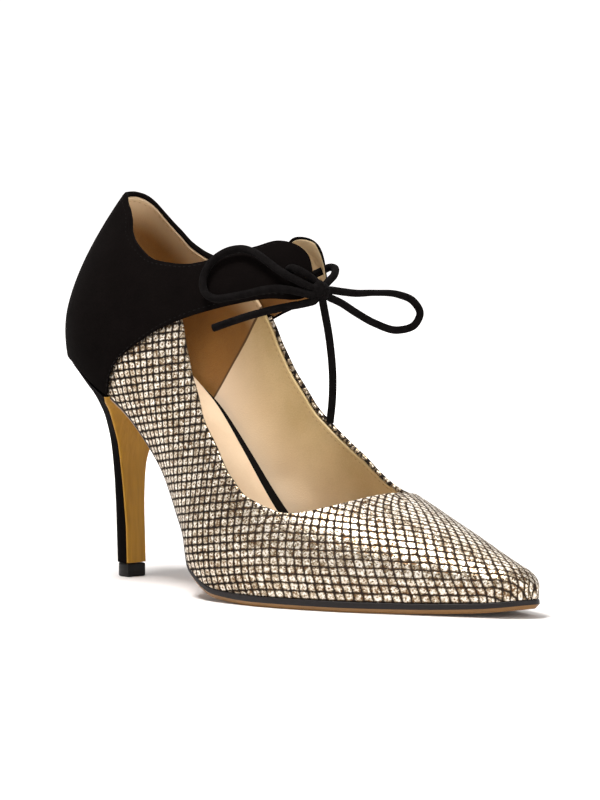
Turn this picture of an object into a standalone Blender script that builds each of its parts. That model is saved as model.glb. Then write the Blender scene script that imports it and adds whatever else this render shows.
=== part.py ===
"""Pointed heeled mary jane with a tied instep strap, right shoe.

The shoe stands on its top lift and its forefoot. +X runs from the back of the heel to
the toe, +Y points to the inner side of the foot and +Z points up. Sizes are in
millimetres and are turned into metres where a mesh is made.
"""

import math

import bmesh
import bpy
import numpy as np
from mathutils import Vector

MM = 0.001
MERGE_DISTANCE = 0.001
CREASE_ANGLE = math.radians(40.0)

# Driving sizes of the last
LENGTH = 225.0
HEEL_ROUND = 29.0
TOE_ROUND = 9.0
FEATHER_ANGLE = math.radians(-55.0)
CROWN_ANGLE = math.radians(90.0)
COUNTER_BULGE = 5.5
COUNTER_HEIGHT = 60.0
COUNTER_FADE = 40.0
COUNTER_FADE_POWER = 1.5
END_STRETCH = 40.0
OUTER, INNER = -1, 1

# Walls and clearances
GAP = 0.3
WALL = 1.7
SUEDE_GAP = 0.4
SUEDE = 1.2
INSOLE = 1.8
SOCK = 0.8
SOCK_MARGIN = 0.6
SOCK_STRIP = 2.8
SOCK_STRIP_START = 30.0
SOCK_STRIP_RUN = 75.0

# Sections of the last from heel to toe. z is the height of the feather line, tilt leans
# the section forward in degrees, outer and inner are half widths on the two sides of
# centre, feather_* is the share of them left at the feather line, widest and crown are
# heights up the section, and full is its squareness.
LAST_COLUMNS = (
    "x", "z", "tilt", "centre", "outer", "inner",
    "feather_outer", "feather_inner", "widest", "crown", "full",
)
LAST = (
    (0.0, 84.0, 21.0, 0.0, 27.5, 27.5, 0.86, 0.86, 17.0, 76.0, 1.45),
    (15.0, 80.8, 21.2, 0.0, 27.5, 27.5, 0.86, 0.86, 17.6, 68.6, 1.50),
    (30.0, 72.8, 23.8, 0.0, 27.5, 27.0, 0.86, 0.88, 20.2, 69.8, 1.65),
    (45.0, 63.6, 31.8, 0.0, 27.0, 26.5, 0.85, 0.90, 20.6, 78.4, 1.80),
    (62.0, 46.6, 38.7, 0.0, 28.0, 27.0, 0.80, 0.90, 18.8, 89.7, 1.90),
    (80.0, 25.2, 35.0, 0.0, 33.3, 29.0, 0.82, 0.92, 16.0, 80.0, 2.00),
    (95.0, 10.4, 29.0, 0.0, 39.0, 33.5, 0.92, 0.94, 12.0, 70.0, 2.00),
    (112.0, 4.8, 20.0, 0.0, 40.8, 36.5, 0.955, 0.95, 10.0, 56.5, 2.10),
    (130.0, 4.0, 11.0, 0.0, 40.0, 37.5, 0.96, 0.96, 9.0, 46.0, 2.10),
    (160.0, 4.0, 3.0, 1.0, 33.5, 33.5, 0.97, 0.97, 8.0, 34.8, 2.10),
    (185.0, 4.2, 0.0, 3.0, 23.5, 24.0, 0.97, 0.97, 7.0, 25.6, 2.00),
    (210.0, 5.2, 0.0, 5.0, 12.5, 13.0, 0.96, 0.96, 6.0, 14.6, 1.90),
    (LENGTH, 6.8, 0.0, 6.5, 6.0, 6.0, 0.95, 0.95, 4.0, 7.8, 1.90),
)

# Top edge of the upper, as the angle round each section in degrees: -55 at the feather
# line, 0 at the widest point and 90 at the crown.
TOPLINE_COLUMNS = ("x", "outer", "inner")
TOPLINE = (
    (0.0, 57.0, 57.0),
    (5.0, 59.0, 56.0),
    (10.0, 59.0, 53.0),
    (15.0, 56.5, 48.0),
    (20.0, 51.0, 42.0),
    (25.0, 47.5, 40.0),
    (30.0, 45.5, 39.0),
    (36.0, 43.0, 36.5),
    (44.0, 36.0, 31.0),
    (50.0, 28.0, 25.0),
    (55.0, 22.0, 20.0),
    (62.0, 17.5, 17.5),
    (70.0, 16.5, 18.5),
    (80.0, 20.5, 24.0),
    (95.0, 28.5, 36.0),
    (112.0, 32.0, 43.0),
    (130.0, 35.0, 45.0),
)
THROAT_START = 130.0
THROAT_END = 158.0
THROAT_FAN = 174.0

# Quarter and instep strap, cut as one: lines across the band from its lower to its upper
# edge, each end given as a place along the last and an angle round the section.
QUARTER_COLUMNS = ("low_x", "low_angle", "high_x", "high_angle")
QUARTER_OUTER = (
    (0.0, -55.0, 0.0, 57.0),
    (5.0, -55.0, 5.0, 59.0),
    (10.0, -55.0, 10.0, 59.0),
    (15.0, -55.0, 15.0, 56.5),
    (20.0, -55.0, 20.0, 51.0),
    (28.0, -55.0, 25.0, 47.5),
    (36.6, -55.0, 30.0, 45.5),
    (36.9, -33.0, 34.0, 44.5),
    (39.4, -4.0, 38.0, 45.0),
    (44.9, 14.5, 42.0, 47.0),
    (50.1, 27.0, 45.5, 52.0),
    (56.0, 40.0, 49.0, 62.0),
    (62.0, 54.0, 51.5, 73.0),
    (67.5, 69.0, 53.5, 82.0),
    (71.0, 84.0, 57.0, 87.0),
)
QUARTER_INNER = (
    (0.0, -55.0, 0.0, 57.0),
    (5.0, -55.0, 5.0, 56.0),
    (10.0, -55.0, 10.0, 53.0),
    (15.0, -55.0, 15.0, 48.0),
    (20.0, -55.0, 20.0, 42.0),
    (28.0, -55.0, 25.0, 40.0),
    (36.6, -55.0, 30.0, 40.0),
    (36.9, -33.0, 34.0, 41.0),
    (39.4, -4.0, 38.0, 43.0),
    (44.9, 14.5, 42.0, 47.0),
    (50.1, 27.0, 45.5, 52.0),
    (56.0, 40.0, 49.0, 62.0),
    (62.0, 54.0, 51.5, 73.0),
    (67.5, 69.0, 53.5, 82.0),
    (71.0, 84.0, 57.0, 87.0),
)
QUARTER_ROWS = {OUTER: QUARTER_OUTER, INNER: QUARTER_INNER}
QUARTER_HEEL_ROWS = 5.0
TAB_START = 11.5
TAB_ROUND_START = 12.4
TAB_CORNER_LOW = 4.0
TAB_CORNER_HIGH = 2.5
TAB_LIFT = {OUTER: 9.0, INNER: 13.0}
TAB_LIFT_MIDDLE = 0.4
TAB_LIFT_SLANT = 1.0
TIE_HOLE_U = 13.0
TIE_HOLE_V = 0.4
TIE_HOLE_DIAMETER = 4.0

# Outsole: how far it stands out past the feather line, its thickness, the height of its
# upright inked edge and how far the bevel below that draws in.
SOLE_COLUMNS = ("x", "outset", "thickness", "edge", "bevel")
SOLE = (
    (34.0, -1.4, 2.4, 1.4, 1.2),
    (62.0, -1.6, 2.4, 1.4, 1.4),
    (88.0, -1.0, 2.7, 1.5, 1.6),
    (112.0, 0.1, 3.4, 2.0, 1.4),
    (130.0, 0.5, 3.7, 2.2, 1.4),
    (160.0, 0.6, 3.7, 2.2, 1.4),
    (210.0, 0.4, 3.5, 2.0, 1.5),
    (LENGTH, 0.1, 3.3, 1.8, 1.5),
)
SOLE_BACK = 36.3

# Heel: drop runs from 0 at the seat to 1 at the top lift, back and breast are the ends
# of each section along X, and half is its half width at the breast.
LIFT_HEIGHT = 5.0
LIFT_PROUD = -0.3
HEEL_COLUMNS = ("drop", "back", "breast", "half")
HEEL = (
    (0.0, -1.5, 35.6, 24.4),
    (0.04, -0.6, 32.6, 21.2),
    (0.083, 1.3, 29.8, 17.2),
    (0.178, 7.0, 26.8, 12.4),
    (0.293, 11.2, 24.8, 8.4),
    (0.433, 13.6, 23.7, 6.1),
    (0.637, 14.9, 24.1, 4.9),
    (0.815, 15.4, 24.8, 4.5),
    (1.0, 16.0, 25.2, 4.5),
)
HEEL_D_ROUND = 0.86
HEEL_D_POWER = 0.9
HEEL_ROWS = 17
HEEL_ROW_BUNCHING = 1.4
BREAST_COVER = 1.0

# Lace: a suede cord through both tabs, tied in a bow in front of them. Each route is a
# list of points in the frame of the last, chosen along the run of the cord.
LACE_DIAMETER = 2.6
LACE_SPACING = 2 * LACE_DIAMETER
TIE_SPACING = 0.6 * LACE_DIAMETER
KNOT_CENTRE = (128.0, -3.2, 109.6)
KNOT_RADII = (3.4, 4.2, 3.6)
LACE_ROUTES = {
    "lace_loop_outer": (
        (127.2, -7.7, 108.3), (123.6, -11.6, 109.6), (118.8, -15.0, 110.4), (113.8, -17.6, 109.8),
        (108.0, -19.6, 108.4), (101.0, -22.0, 107.0), (94.5, -23.6, 106.4), (89.5, -23.6, 108.4),
        (87.0, -22.4, 112.2), (86.4, -20.4, 116.0), (88.0, -17.8, 120.0), (91.8, -15.6, 122.8),
        (97.6, -13.6, 124.0), (103.6, -13.2, 123.0), (109.6, -13.4, 120.6), (115.0, -13.2, 117.8),
        (120.4, -12.4, 115.2), (124.2, -10.2, 113.0), (126.6, -7.9, 111.3),
    ),
    "lace_loop_inner": (
        (129.4, 1.1, 109.7), (130.3, 5.8, 109.0), (131.4, 10.9, 108.4), (133.2, 18.2, 108.4),
        (136.2, 27.4, 107.6), (138.0, 32.9, 105.2), (138.9, 35.6, 100.7), (138.3, 33.8, 96.9),
        (136.2, 27.4, 94.9), (133.4, 18.2, 97.6), (131.6, 10.6, 101.6), (130.4, 4.4, 105.2),
        (129.6, 0.2, 107.0),
    ),
    "lace_end_outer": (
        (126.6, -5.4, 105.8), (123.6, -8.6, 104.8), (119.4, -12.2, 103.8), (115.0, -15.6, 102.6),
        (110.2, -19.2, 101.0), (104.5, -23.2, 98.8), (98.0, -27.6, 96.0),
    ),
    "lace_end_inner": (
        (128.5, -2.4, 105.4), (128.7, -1.6, 101.5), (129.0, -0.5, 96.0), (129.2, 0.8, 88.0),
        (129.2, 1.7, 79.0), (128.9, 1.7, 70.0), (128.4, 1.1, 62.4),
    ),
}
# The stretch that joins the two tabs: how far it runs straight through each hole, and its
# points from there to the knot.
TIE_THROUGH = 2.8
TIE_ENDS = {
    OUTER: ((120.9, -10.2, 117.6), (124.3, -7.9, 116.0), (126.2, -4.5, 113.4)),
    INNER: ((121.2, 9.9, 117.2), (124.8, 6.8, 115.2), (127.3, 0.8, 112.3)),
}


def columns(names, rows):
    """Turn a table of rows into a dictionary of arrays, one for each named column."""
    return {name: np.array([row[k] for row in rows], float) for k, name in enumerate(names)}


def smooth_through(knots, values, query):
    """Smooth curve through the knots that never swings past them."""
    query = np.asarray(query, float)
    step = np.diff(knots)
    slope = np.diff(values) / step
    tangent = np.concatenate([slope[:1], np.zeros(len(slope) - 1), slope[-1:]])
    for k in range(1, len(slope)):
        if slope[k - 1] * slope[k] > 0:
            before = 2 * step[k] + step[k - 1]
            after = step[k] + 2 * step[k - 1]
            tangent[k] = (before + after) / (before / slope[k - 1] + after / slope[k])
    k = np.clip(np.searchsorted(knots, query, side="right") - 1, 0, len(step) - 1)
    t = np.clip((query - knots[k]) / step[k], 0, 1)
    rise = values[k] + (values[k + 1] - values[k]) * t * t * (3 - 2 * t)
    return rise + step[k] * (tangent[k] * t * (1 - t) ** 2 - tangent[k + 1] * t * t * (1 - t))


LAST_TABLE = columns(LAST_COLUMNS, LAST)
TOPLINE_TABLE = columns(TOPLINE_COLUMNS, TOPLINE)
SOLE_TABLE = columns(SOLE_COLUMNS, SOLE)
HEEL_TABLE = columns(HEEL_COLUMNS, HEEL)


def last(name, x):
    """Value of one column of the last at x."""
    return smooth_through(LAST_TABLE["x"], LAST_TABLE[name], x)


def heel_end(x):
    """Share of the half width left where the plan rounds off at the heel."""
    heel = np.clip(1 - x / HEEL_ROUND, 0, 1)
    return np.sqrt(1 - heel**2) ** HEEL_D_POWER


def toe_end(x):
    """Share of the width and height left where the toe rounds off."""
    toe = np.clip(1 - (LENGTH - x) / TOE_ROUND, 0, 1)
    return np.sqrt(1 - toe**2)


def last_surface(x, angle, side, out=0.0):
    """Points of the last at x and an angle round the section, moved outwards by out."""
    x, angle = np.broadcast_arrays(np.asarray(x, float), np.asarray(angle, float))
    name = "outer" if side == OUTER else "inner"
    half = (last(name, x) + out) * heel_end(x) * toe_end(x)
    widest = last("widest", x)
    rise = (last("crown", x) + out - widest) * toe_end(x)
    power = 2 / last("full", x)
    below = np.clip(np.sin(angle) / math.sin(FEATHER_ANGLE), 0, 1)
    above = np.clip(angle, 0, CROWN_ANGLE)
    height = widest * (1 - below) + rise * np.sin(above) ** power
    tuck = 1 - (1 - last("feather_" + name, x)) * below**2
    width = half * tuck * np.clip(np.cos(above), 1e-9, 1) ** power
    bulge = COUNTER_BULGE * np.sin(math.pi * height / COUNTER_HEIGHT)
    bulge = bulge * np.clip(1 - x / COUNTER_FADE, 0, 1) ** COUNTER_FADE_POWER
    stretch = out * (np.clip((x - LENGTH) / END_STRETCH + 1, 0, 1) - np.clip(1 - x / END_STRETCH, 0, 1))
    tilt = np.radians(last("tilt", x))
    return np.stack([
        x + stretch - bulge + height * np.sin(tilt),
        last("centre", x) + side * width,
        last("z", x) + height * np.cos(tilt),
    ], axis=-1)


def feather_normal(x):
    """Unit vectors square to the feather line, in the plane of X and Z."""
    slope = last("z", x + 0.5) - last("z", x - 0.5)
    length = np.sqrt(1 + slope**2)
    return np.stack([-slope / length, np.zeros_like(x), 1 / length], axis=-1)


def topline_angle(x, side):
    """Angle at which the upper ends: along the sides, round the throat, then the crown."""
    name = "outer" if side == OUTER else "inner"
    start = math.radians(TOPLINE_TABLE[name][-1])
    along = np.radians(smooth_through(TOPLINE_TABLE["x"], TOPLINE_TABLE[name], x))
    share = np.clip((x - THROAT_START) / (THROAT_END - THROAT_START), 0, 1)
    throat = start + (CROWN_ANGLE - start) * (1 - np.sqrt(1 - share**2))
    return np.where(x <= THROAT_START, along, throat)


def stations(heel=9, side=17, throat=9, vamp=10, toe=7):
    """Places along the last, closer together where the plan or the throat turns."""
    turn = np.linspace(0, math.pi / 2, heel)
    parts = [HEEL_ROUND * (1 - np.cos(turn))]
    parts.append(np.linspace(HEEL_ROUND, THROAT_START, side)[1:])
    turn = np.linspace(0, math.pi / 2, throat)[1:]
    parts.append(THROAT_START + (THROAT_END - THROAT_START) * np.sin(turn))
    parts.append(np.linspace(THROAT_END, LENGTH - TOE_ROUND, vamp)[1:])
    turn = np.linspace(0, math.pi / 2, toe)[1:]
    parts.append(LENGTH - TOE_ROUND * (1 - np.sin(turn)))
    return np.concatenate(parts)


class Shape:
    """Vertices and faces of one piece, collected from grids and strips of points."""

    def __init__(self):
        self.points = []
        self.faces = []

    def grid(self, points):
        """Add a grid of points and its faces, and return the numbers of its points."""
        rows, cols = points.shape[:2]
        numbers = len(self.points) + np.arange(rows * cols).reshape(rows, cols)
        self.points.extend(map(tuple, points.reshape(-1, 3) * MM))
        for i in range(rows - 1):
            self.strip(numbers[i], numbers[i + 1])
        return numbers

    def strip(self, first, second):
        """Join two rows of points with four-sided faces."""
        for j in range(len(first) - 1):
            self.faces.append((first[j], first[j + 1], second[j + 1], second[j]))

    def build(self, name, parent, material):
        """Make the object, with doubled points merged and its faces turned outwards."""
        mesh = bpy.data.meshes.new(name)
        mesh.from_pydata(self.points, [], [tuple(map(int, face)) for face in self.faces])
        work = bmesh.new()
        work.from_mesh(mesh)
        bmesh.ops.remove_doubles(work, verts=work.verts, dist=MERGE_DISTANCE * MM)
        bmesh.ops.dissolve_degenerate(work, edges=work.edges, dist=MERGE_DISTANCE * MM)
        bmesh.ops.recalc_face_normals(work, faces=work.faces)
        work.to_mesh(mesh)
        work.free()
        mesh.shade_smooth()
        mesh.set_sharp_from_angle(angle=CREASE_ANGLE)
        mesh.materials.append(material)
        piece = bpy.data.objects.new(name, mesh)
        bpy.context.scene.collection.objects.link(piece)
        piece.parent = parent
        return piece


def wall(shape, outer, inner, closed_edges):
    """Add two facing grids and the strips that close the named edges between them."""
    face = shape.grid(outer)
    back = shape.grid(inner)
    edges = {"low": np.s_[:, 0], "high": np.s_[:, -1], "start": np.s_[0, :], "end": np.s_[-1, :]}
    for name in closed_edges:
        shape.strip(face[edges[name]], back[edges[name]])
    return face, back


def ring_loft(shape, rings):
    """Join closed rings of points into a tube, with both end rings left open."""
    looped = np.concatenate([rings, rings[:, :1]], axis=1)
    return shape.grid(looped)


def upper_columns():
    """Lower and upper ends, along the last, of the columns of points on the upper.

    Columns stand upright along the sides and fan out round the throat.
    """
    x = stations()
    throat = (x > THROAT_START) & (x <= THROAT_END)
    ahead = x > THROAT_END
    low = x.copy()
    low[throat] = np.linspace(THROAT_START, THROAT_FAN, throat.sum() + 1)[1:]
    low[ahead] = THROAT_FAN + (x[ahead] - THROAT_END) * (LENGTH - THROAT_FAN) / (LENGTH - THROAT_END)
    return low, x


def upper(parent, material):
    """Vamp and sides over their lining: one hollow wall, open at the top and underneath."""
    low, high = upper_columns()
    shape = Shape()
    rows = np.linspace(0, 1, 11)
    x = low[:, None] + (high - low)[:, None] * rows
    open_top = int(np.searchsorted(high, THROAT_END)) + 1
    for side in (OUTER, INNER):
        angle = FEATHER_ANGLE + (topline_angle(high, side) - FEATHER_ANGLE)[:, None] * rows
        face, back = wall(
            shape,
            last_surface(x, angle, side),
            last_surface(x, angle, side, -WALL),
            ("low",),
        )
        shape.strip(face[:open_top, -1], back[:open_top, -1])
    return shape.build("upper", parent, material)


def quarter_lines(rows, u):
    """Ends of the lines across the quarter at u, counted in rows, with a round tab end."""
    table = columns(QUARTER_COLUMNS, rows)
    knots = np.arange(len(rows), dtype=float)
    low_x, low_angle, high_x, high_angle = (
        smooth_through(knots, table[name], u) for name in QUARTER_COLUMNS
    )
    t = np.clip((u - TAB_ROUND_START) / (knots[-1] - TAB_ROUND_START), 0, 1)
    lower = (1 - t**TAB_CORNER_LOW) ** (1 / TAB_CORNER_LOW)
    upper = (1 - t**TAB_CORNER_HIGH) ** (1 / TAB_CORNER_HIGH)
    middle_x = (low_x + high_x) / 2
    middle_angle = (low_angle + high_angle) / 2
    low = middle_x + (low_x - middle_x) * lower, middle_angle + (low_angle - middle_angle) * lower
    high = middle_x + (high_x - middle_x) * upper, middle_angle + (high_angle - middle_angle) * upper
    return low, high, upper


def quarter_surface(side, u, v, out):
    """Points of a quarter at u along it and v across it, with its tab lifted off the foot."""
    u, v = np.broadcast_arrays(np.asarray(u, float), np.asarray(v, float))
    rows = QUARTER_ROWS[side]
    (low_x, low_angle), (high_x, high_angle), spread = quarter_lines(rows, u)
    x = low_x + (high_x - low_x) * v
    angle = np.radians(low_angle + (high_angle - low_angle) * v)
    rise = np.clip((u - TAB_START) / (len(rows) - 1 - TAB_START), 0, 1)
    lift = TAB_LIFT[side] * rise**2 * (TAB_LIFT_MIDDLE + TAB_LIFT_SLANT * (v - 0.5) * spread)
    return last_surface(x, angle, side, out + lift) + np.array([0.0, side * GAP / 2, 0.0])


def tie_hole(side):
    """Centre of a tab's hole and the direction through it, pointing off the foot."""
    middle = SUEDE_GAP + SUEDE / 2
    centre, ahead, across = (
        quarter_surface(side, TIE_HOLE_U + du, TIE_HOLE_V + dv, middle)
        for du, dv in ((0, 0), (0.05, 0), (0, 0.05))
    )
    axis = np.cross(ahead - centre, across - centre) * -side
    return centre, axis / np.linalg.norm(axis)


def quarter(name, side, parent, material):
    """Suede quarter of one side with its instep strap, rounded tab and hole for the lace."""
    last_row = len(QUARTER_ROWS[side]) - 1
    heel = QUARTER_HEEL_ROWS * (1 - np.cos(np.linspace(0, math.pi / 2, 10)))
    tip = np.sin(np.linspace(0, math.pi / 2, 8))
    u = np.concatenate([
        heel[:-1],
        np.linspace(QUARTER_HEEL_ROWS, TAB_ROUND_START, 18)[:-1],
        TAB_ROUND_START + (last_row - TAB_ROUND_START) * tip,
    ])[:, None]
    v = np.linspace(0, 1, 10)
    shape = Shape()
    wall(
        shape,
        quarter_surface(side, u, v, SUEDE_GAP + SUEDE),
        quarter_surface(side, u, v, SUEDE_GAP),
        ("low", "high", "start", "end"),
    )
    piece = shape.build(name, parent, material)
    centre, axis = tie_hole(side)
    cut = piece.modifiers.new("tie_hole", "BOOLEAN")
    cut.object = hole_cutter(name + "_hole", centre, axis, parent)
    return piece


def hole_cutter(name, centre, axis, parent):
    """Round cutter through a tab, left out of the finished part."""
    mesh = bpy.data.meshes.new(name)
    work = bmesh.new()
    radius = TIE_HOLE_DIAMETER / 2 * MM
    bmesh.ops.create_cone(
        work, cap_ends=True, segments=16, radius1=radius, radius2=radius, depth=8 * SUEDE * MM,
    )
    work.to_mesh(mesh)
    work.free()
    cutter = bpy.data.objects.new(name, mesh)
    bpy.context.scene.collection.objects.link(cutter)
    cutter.parent = parent
    cutter.location = Vector(centre * MM)
    cutter.rotation_euler = Vector(axis).to_track_quat("Z", "Y").to_euler()
    cutter.hide_render = True
    cutter.display_type = "WIRE"
    return cutter


def outsole(parent, material):
    """Outsole from the heel breast to the toe: inked upright edge, bevel and flat tread."""
    x = stations()
    x = np.concatenate([[SOLE_BACK], x[x > SOLE_BACK + 2]])
    outset, thickness, edge, bevel = (
        smooth_through(SOLE_TABLE["x"], SOLE_TABLE[name], x) for name in SOLE_COLUMNS[1:]
    )
    down = -feather_normal(x)
    sides = {}
    for side in (OUTER, INNER):
        top = last_surface(x, FEATHER_ANGLE, side, outset) + down * GAP
        foot = last_surface(x, FEATHER_ANGLE, side, outset - bevel) + down * (GAP + thickness[:, None])
        sides[side] = (top, top + down * edge[:, None], foot)
    rings = np.stack(list(sides[OUTER]) + list(sides[INNER])[::-1], axis=1)
    shape = Shape()
    numbers = ring_loft(shape, rings)
    shape.faces.append(tuple(numbers[0, :6]))
    return shape.build("outsole", parent, material)


def footbed(name, parent, material, bottom, thickness, margins):
    """Thin bed along the feather line, drawn in from the inside of the upper by its margins."""
    x = stations()
    up = feather_normal(x)
    edges = {
        side: last_surface(x, FEATHER_ANGLE, side, -(WALL + GAP + margins[side](x)))
        for side in (OUTER, INNER)
    }
    rings = np.stack([
        edges[OUTER] + up * (bottom + thickness),
        edges[INNER] + up * (bottom + thickness),
        edges[INNER] + up * bottom,
        edges[OUTER] + up * bottom,
    ], axis=1)
    shape = Shape()
    ring_loft(shape, rings)
    return shape.build(name, parent, material)


def sock_strip(x):
    """Width of the insole left bare beside the sock on the inner side."""
    widening = np.clip((x - SOCK_STRIP_START) / SOCK_STRIP_RUN, 0, 1)
    closing = np.clip((LENGTH - x) / SOCK_STRIP_RUN, 0, 1)
    return SOCK_MARGIN + SOCK_STRIP * widening * closing


def heel_rounding(share):
    """Half width of the D-shaped heel section, from its back to its breast."""
    turn = np.clip(1 - share / HEEL_D_ROUND, 0, 1)
    return np.sqrt(1 - turn**2) ** HEEL_D_POWER


def heel_sections(drop):
    """Back, breast and half width of the heel at each drop."""
    return tuple(smooth_through(HEEL_TABLE["drop"], HEEL_TABLE[name], drop) for name in HEEL_COLUMNS[1:])


def heel_height(x, drop):
    """Height of a heel point: down from the seat to the top lift."""
    seat = last("z", x + SUEDE_GAP + SUEDE) - GAP
    return seat + (LIFT_HEIGHT + GAP - seat) * drop


def heel(parent, material):
    """Slim covered heel, flat at the breast and round at the back."""
    drop = np.linspace(0, 1, HEEL_ROWS) ** HEEL_ROW_BUNCHING
    back, breast, half = (value[:, None] for value in heel_sections(drop))
    share = HEEL_D_ROUND * (1 - np.cos(np.linspace(0, math.pi / 2, 8)))
    share = np.append(share, 1.0)
    x = back + (breast - BREAST_COVER - GAP - back) * share
    seat_x = (back + (breast - back) * share)[:1]
    z = heel_height(seat_x, drop[:, None])
    y = half * heel_rounding(share)
    shape = Shape()
    outer, inner = (shape.grid(np.stack([x, side * y, z], axis=-1)) for side in (OUTER, INNER))
    for pick in (np.s_[0, :], np.s_[-1, :], np.s_[:, -1]):
        shape.strip(outer[pick], inner[pick])
    return shape.build("heel", parent, material)


def heel_breast(parent, material):
    """Leather cover on the flat front of the heel."""
    drop = np.linspace(0, 1, HEEL_ROWS) ** HEEL_ROW_BUNCHING
    _, breast, half = (value[:, None] for value in heel_sections(drop))
    across = np.array([-1.0, 0.0, 1.0])
    x = breast + 0 * across
    z = heel_height(breast[:1], drop[:, None]) + 0 * across
    front = np.stack([x, half * across, z], axis=-1)
    shape = Shape()
    wall(shape, front, front - np.array([BREAST_COVER, 0, 0]), ("low", "high", "start", "end"))
    return shape.build("heel_breast", parent, material)


def top_lift(parent, material):
    """Hard-wearing tip under the heel."""
    back, breast, half = (value[-1] for value in heel_sections(np.array([0.0, 1.0])))
    share = np.append(HEEL_D_ROUND * (1 - np.cos(np.linspace(0, math.pi / 2, 8))), 1.0)
    x = back - LIFT_PROUD + (breast - back + 2 * LIFT_PROUD) * share
    y = (half + LIFT_PROUD) * heel_rounding(share)
    heights = np.array([LIFT_HEIGHT, 0.0])[:, None]
    shape = Shape()
    outer, inner = (
        shape.grid(np.stack(np.broadcast_arrays(x, side * y, heights), axis=-1)) for side in (OUTER, INNER)
    )
    for pick in (np.s_[0, :], np.s_[-1, :], np.s_[:, -1]):
        shape.strip(outer[pick], inner[pick])
    return shape.build("top_lift", parent, material)


def smooth_route(points, spacing):
    """Points at an even spacing on a smooth curve through the points of a route."""
    points = np.array(points, float)
    chord = np.concatenate([[0.0], np.cumsum(np.linalg.norm(np.diff(points, axis=0), axis=1))])
    tangent = np.gradient(points, chord, axis=0)
    fine = np.linspace(0, chord[-1], 40 * len(points))
    k = np.clip(np.searchsorted(chord, fine, side="right") - 1, 0, len(points) - 2)
    step = (chord[k + 1] - chord[k])[:, None]
    t = (fine - chord[k])[:, None] / step
    rise = points[k] + (points[k + 1] - points[k]) * t * t * (3 - 2 * t)
    curve = rise + step * (tangent[k] * t * (1 - t) ** 2 - tangent[k + 1] * t * t * (1 - t))
    length = np.concatenate([[0.0], np.cumsum(np.linalg.norm(np.diff(curve, axis=0), axis=1))])
    places = np.linspace(0, length[-1], max(2, round(length[-1] / spacing) + 1))
    return np.stack([np.interp(places, length, curve[:, axis]) for axis in range(3)], axis=-1)


def cord(name, route, spacing, parent, material):
    """Round cord along a route, closed at both ends."""
    points = smooth_route(route, spacing) * MM
    curve = bpy.data.curves.new(name, "CURVE")
    curve.dimensions = "3D"
    curve.bevel_depth = LACE_DIAMETER / 2 * MM
    curve.bevel_resolution = 2
    curve.use_fill_caps = True
    spline = curve.splines.new("POLY")
    spline.points.add(len(points) - 1)
    spline.points.foreach_set("co", np.append(points, np.ones((len(points), 1)), axis=1).ravel())
    curve.materials.append(material)
    piece = bpy.data.objects.new(name, curve)
    bpy.context.scene.collection.objects.link(piece)
    piece.parent = parent
    return piece


def lace_tie(parent, material):
    """Stretch of lace from the knot through one tab, behind both and out through the other."""
    outer, inner = (
        [centre - axis * TIE_THROUGH, centre, centre + axis * TIE_THROUGH, *np.array(TIE_ENDS[side])]
        for side, (centre, axis) in ((side, tie_hole(side)) for side in (OUTER, INNER))
    )
    return cord("lace_tie", outer[::-1] + inner, TIE_SPACING, parent, material)


def lace_knot(parent, material):
    """Knot of the bow."""
    mesh = bpy.data.meshes.new("lace_knot")
    work = bmesh.new()
    bmesh.ops.create_uvsphere(work, u_segments=16, v_segments=10, radius=MM)
    bmesh.ops.scale(work, vec=KNOT_RADII, verts=work.verts)
    work.to_mesh(mesh)
    work.free()
    mesh.shade_smooth()
    mesh.materials.append(material)
    piece = bpy.data.objects.new("lace_knot", mesh)
    bpy.context.scene.collection.objects.link(piece)
    piece.parent = parent
    piece.location = Vector(KNOT_CENTRE) * MM
    return piece


def finish(name, colour, roughness, metallic=0.0):
    """Material of one piece."""
    material = bpy.data.materials.new(name)
    material.use_nodes = True
    shader = material.node_tree.nodes["Principled BSDF"]
    shader.inputs["Base Color"].default_value = (*colour, 1.0)
    shader.inputs["Roughness"].default_value = roughness
    shader.inputs["Metallic"].default_value = metallic
    return material


def main():
    """Build every piece and stand the shoe over the origin."""
    for old in list(bpy.data.objects):
        bpy.data.objects.remove(old)
    root = bpy.data.objects.new("shoe", None)
    bpy.context.scene.collection.objects.link(root)

    glitter = finish("glitter_net", (0.52, 0.43, 0.33), 0.35, 0.6)
    suede = finish("black_suede", (0.012, 0.011, 0.012), 0.95)
    sole_leather = finish("sole_leather", (0.36, 0.21, 0.10), 0.5)
    sock_leather = finish("sock_leather", (0.66, 0.50, 0.34), 0.45)
    black_board = finish("black_board", (0.010, 0.009, 0.009), 0.6)
    suede_cord = finish("suede_cord", (0.010, 0.009, 0.009), 0.9)
    lift_rubber = finish("lift_rubber", (0.012, 0.012, 0.013), 0.45)

    even = {OUTER: np.zeros_like, INNER: np.zeros_like}
    bared = {OUTER: lambda x: np.full_like(x, SOCK_MARGIN), INNER: sock_strip}
    pieces = [
        upper(root, glitter),
        quarter("quarter_outer", OUTER, root, suede),
        quarter("quarter_inner", INNER, root, suede),
        outsole(root, sole_leather),
        footbed("insole", root, black_board, 0.0, INSOLE, even),
        footbed("sock", root, sock_leather, INSOLE + GAP, SOCK, bared),
        heel(root, suede),
        heel_breast(root, sole_leather),
        top_lift(root, lift_rubber),
    ]
    corners = np.array([vertex.co for piece in pieces for vertex in piece.data.vertices])
    low, high = corners.min(axis=0), corners.max(axis=0)
    root.location = (-(low[0] + high[0]) / 2, -(low[1] + high[1]) / 2, -low[2])

    lace_tie(root, suede_cord)
    lace_knot(root, suede_cord)
    for name, route in LACE_ROUTES.items():
        cord(name, route, LACE_SPACING, root, suede_cord)


main()
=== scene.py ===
"""Looks of a pointed heeled mary jane, right shoe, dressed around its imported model.

Sizes are in millimetres in the frame of the last: +X runs from the back of the heel to
the toe, +Y to the inner side of the foot and +Z up. They become metres in the part's
frame where a mesh is made.
"""

from __future__ import annotations

import logging
import math
from dataclasses import dataclass, field
from enum import Enum
from typing import Union

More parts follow.
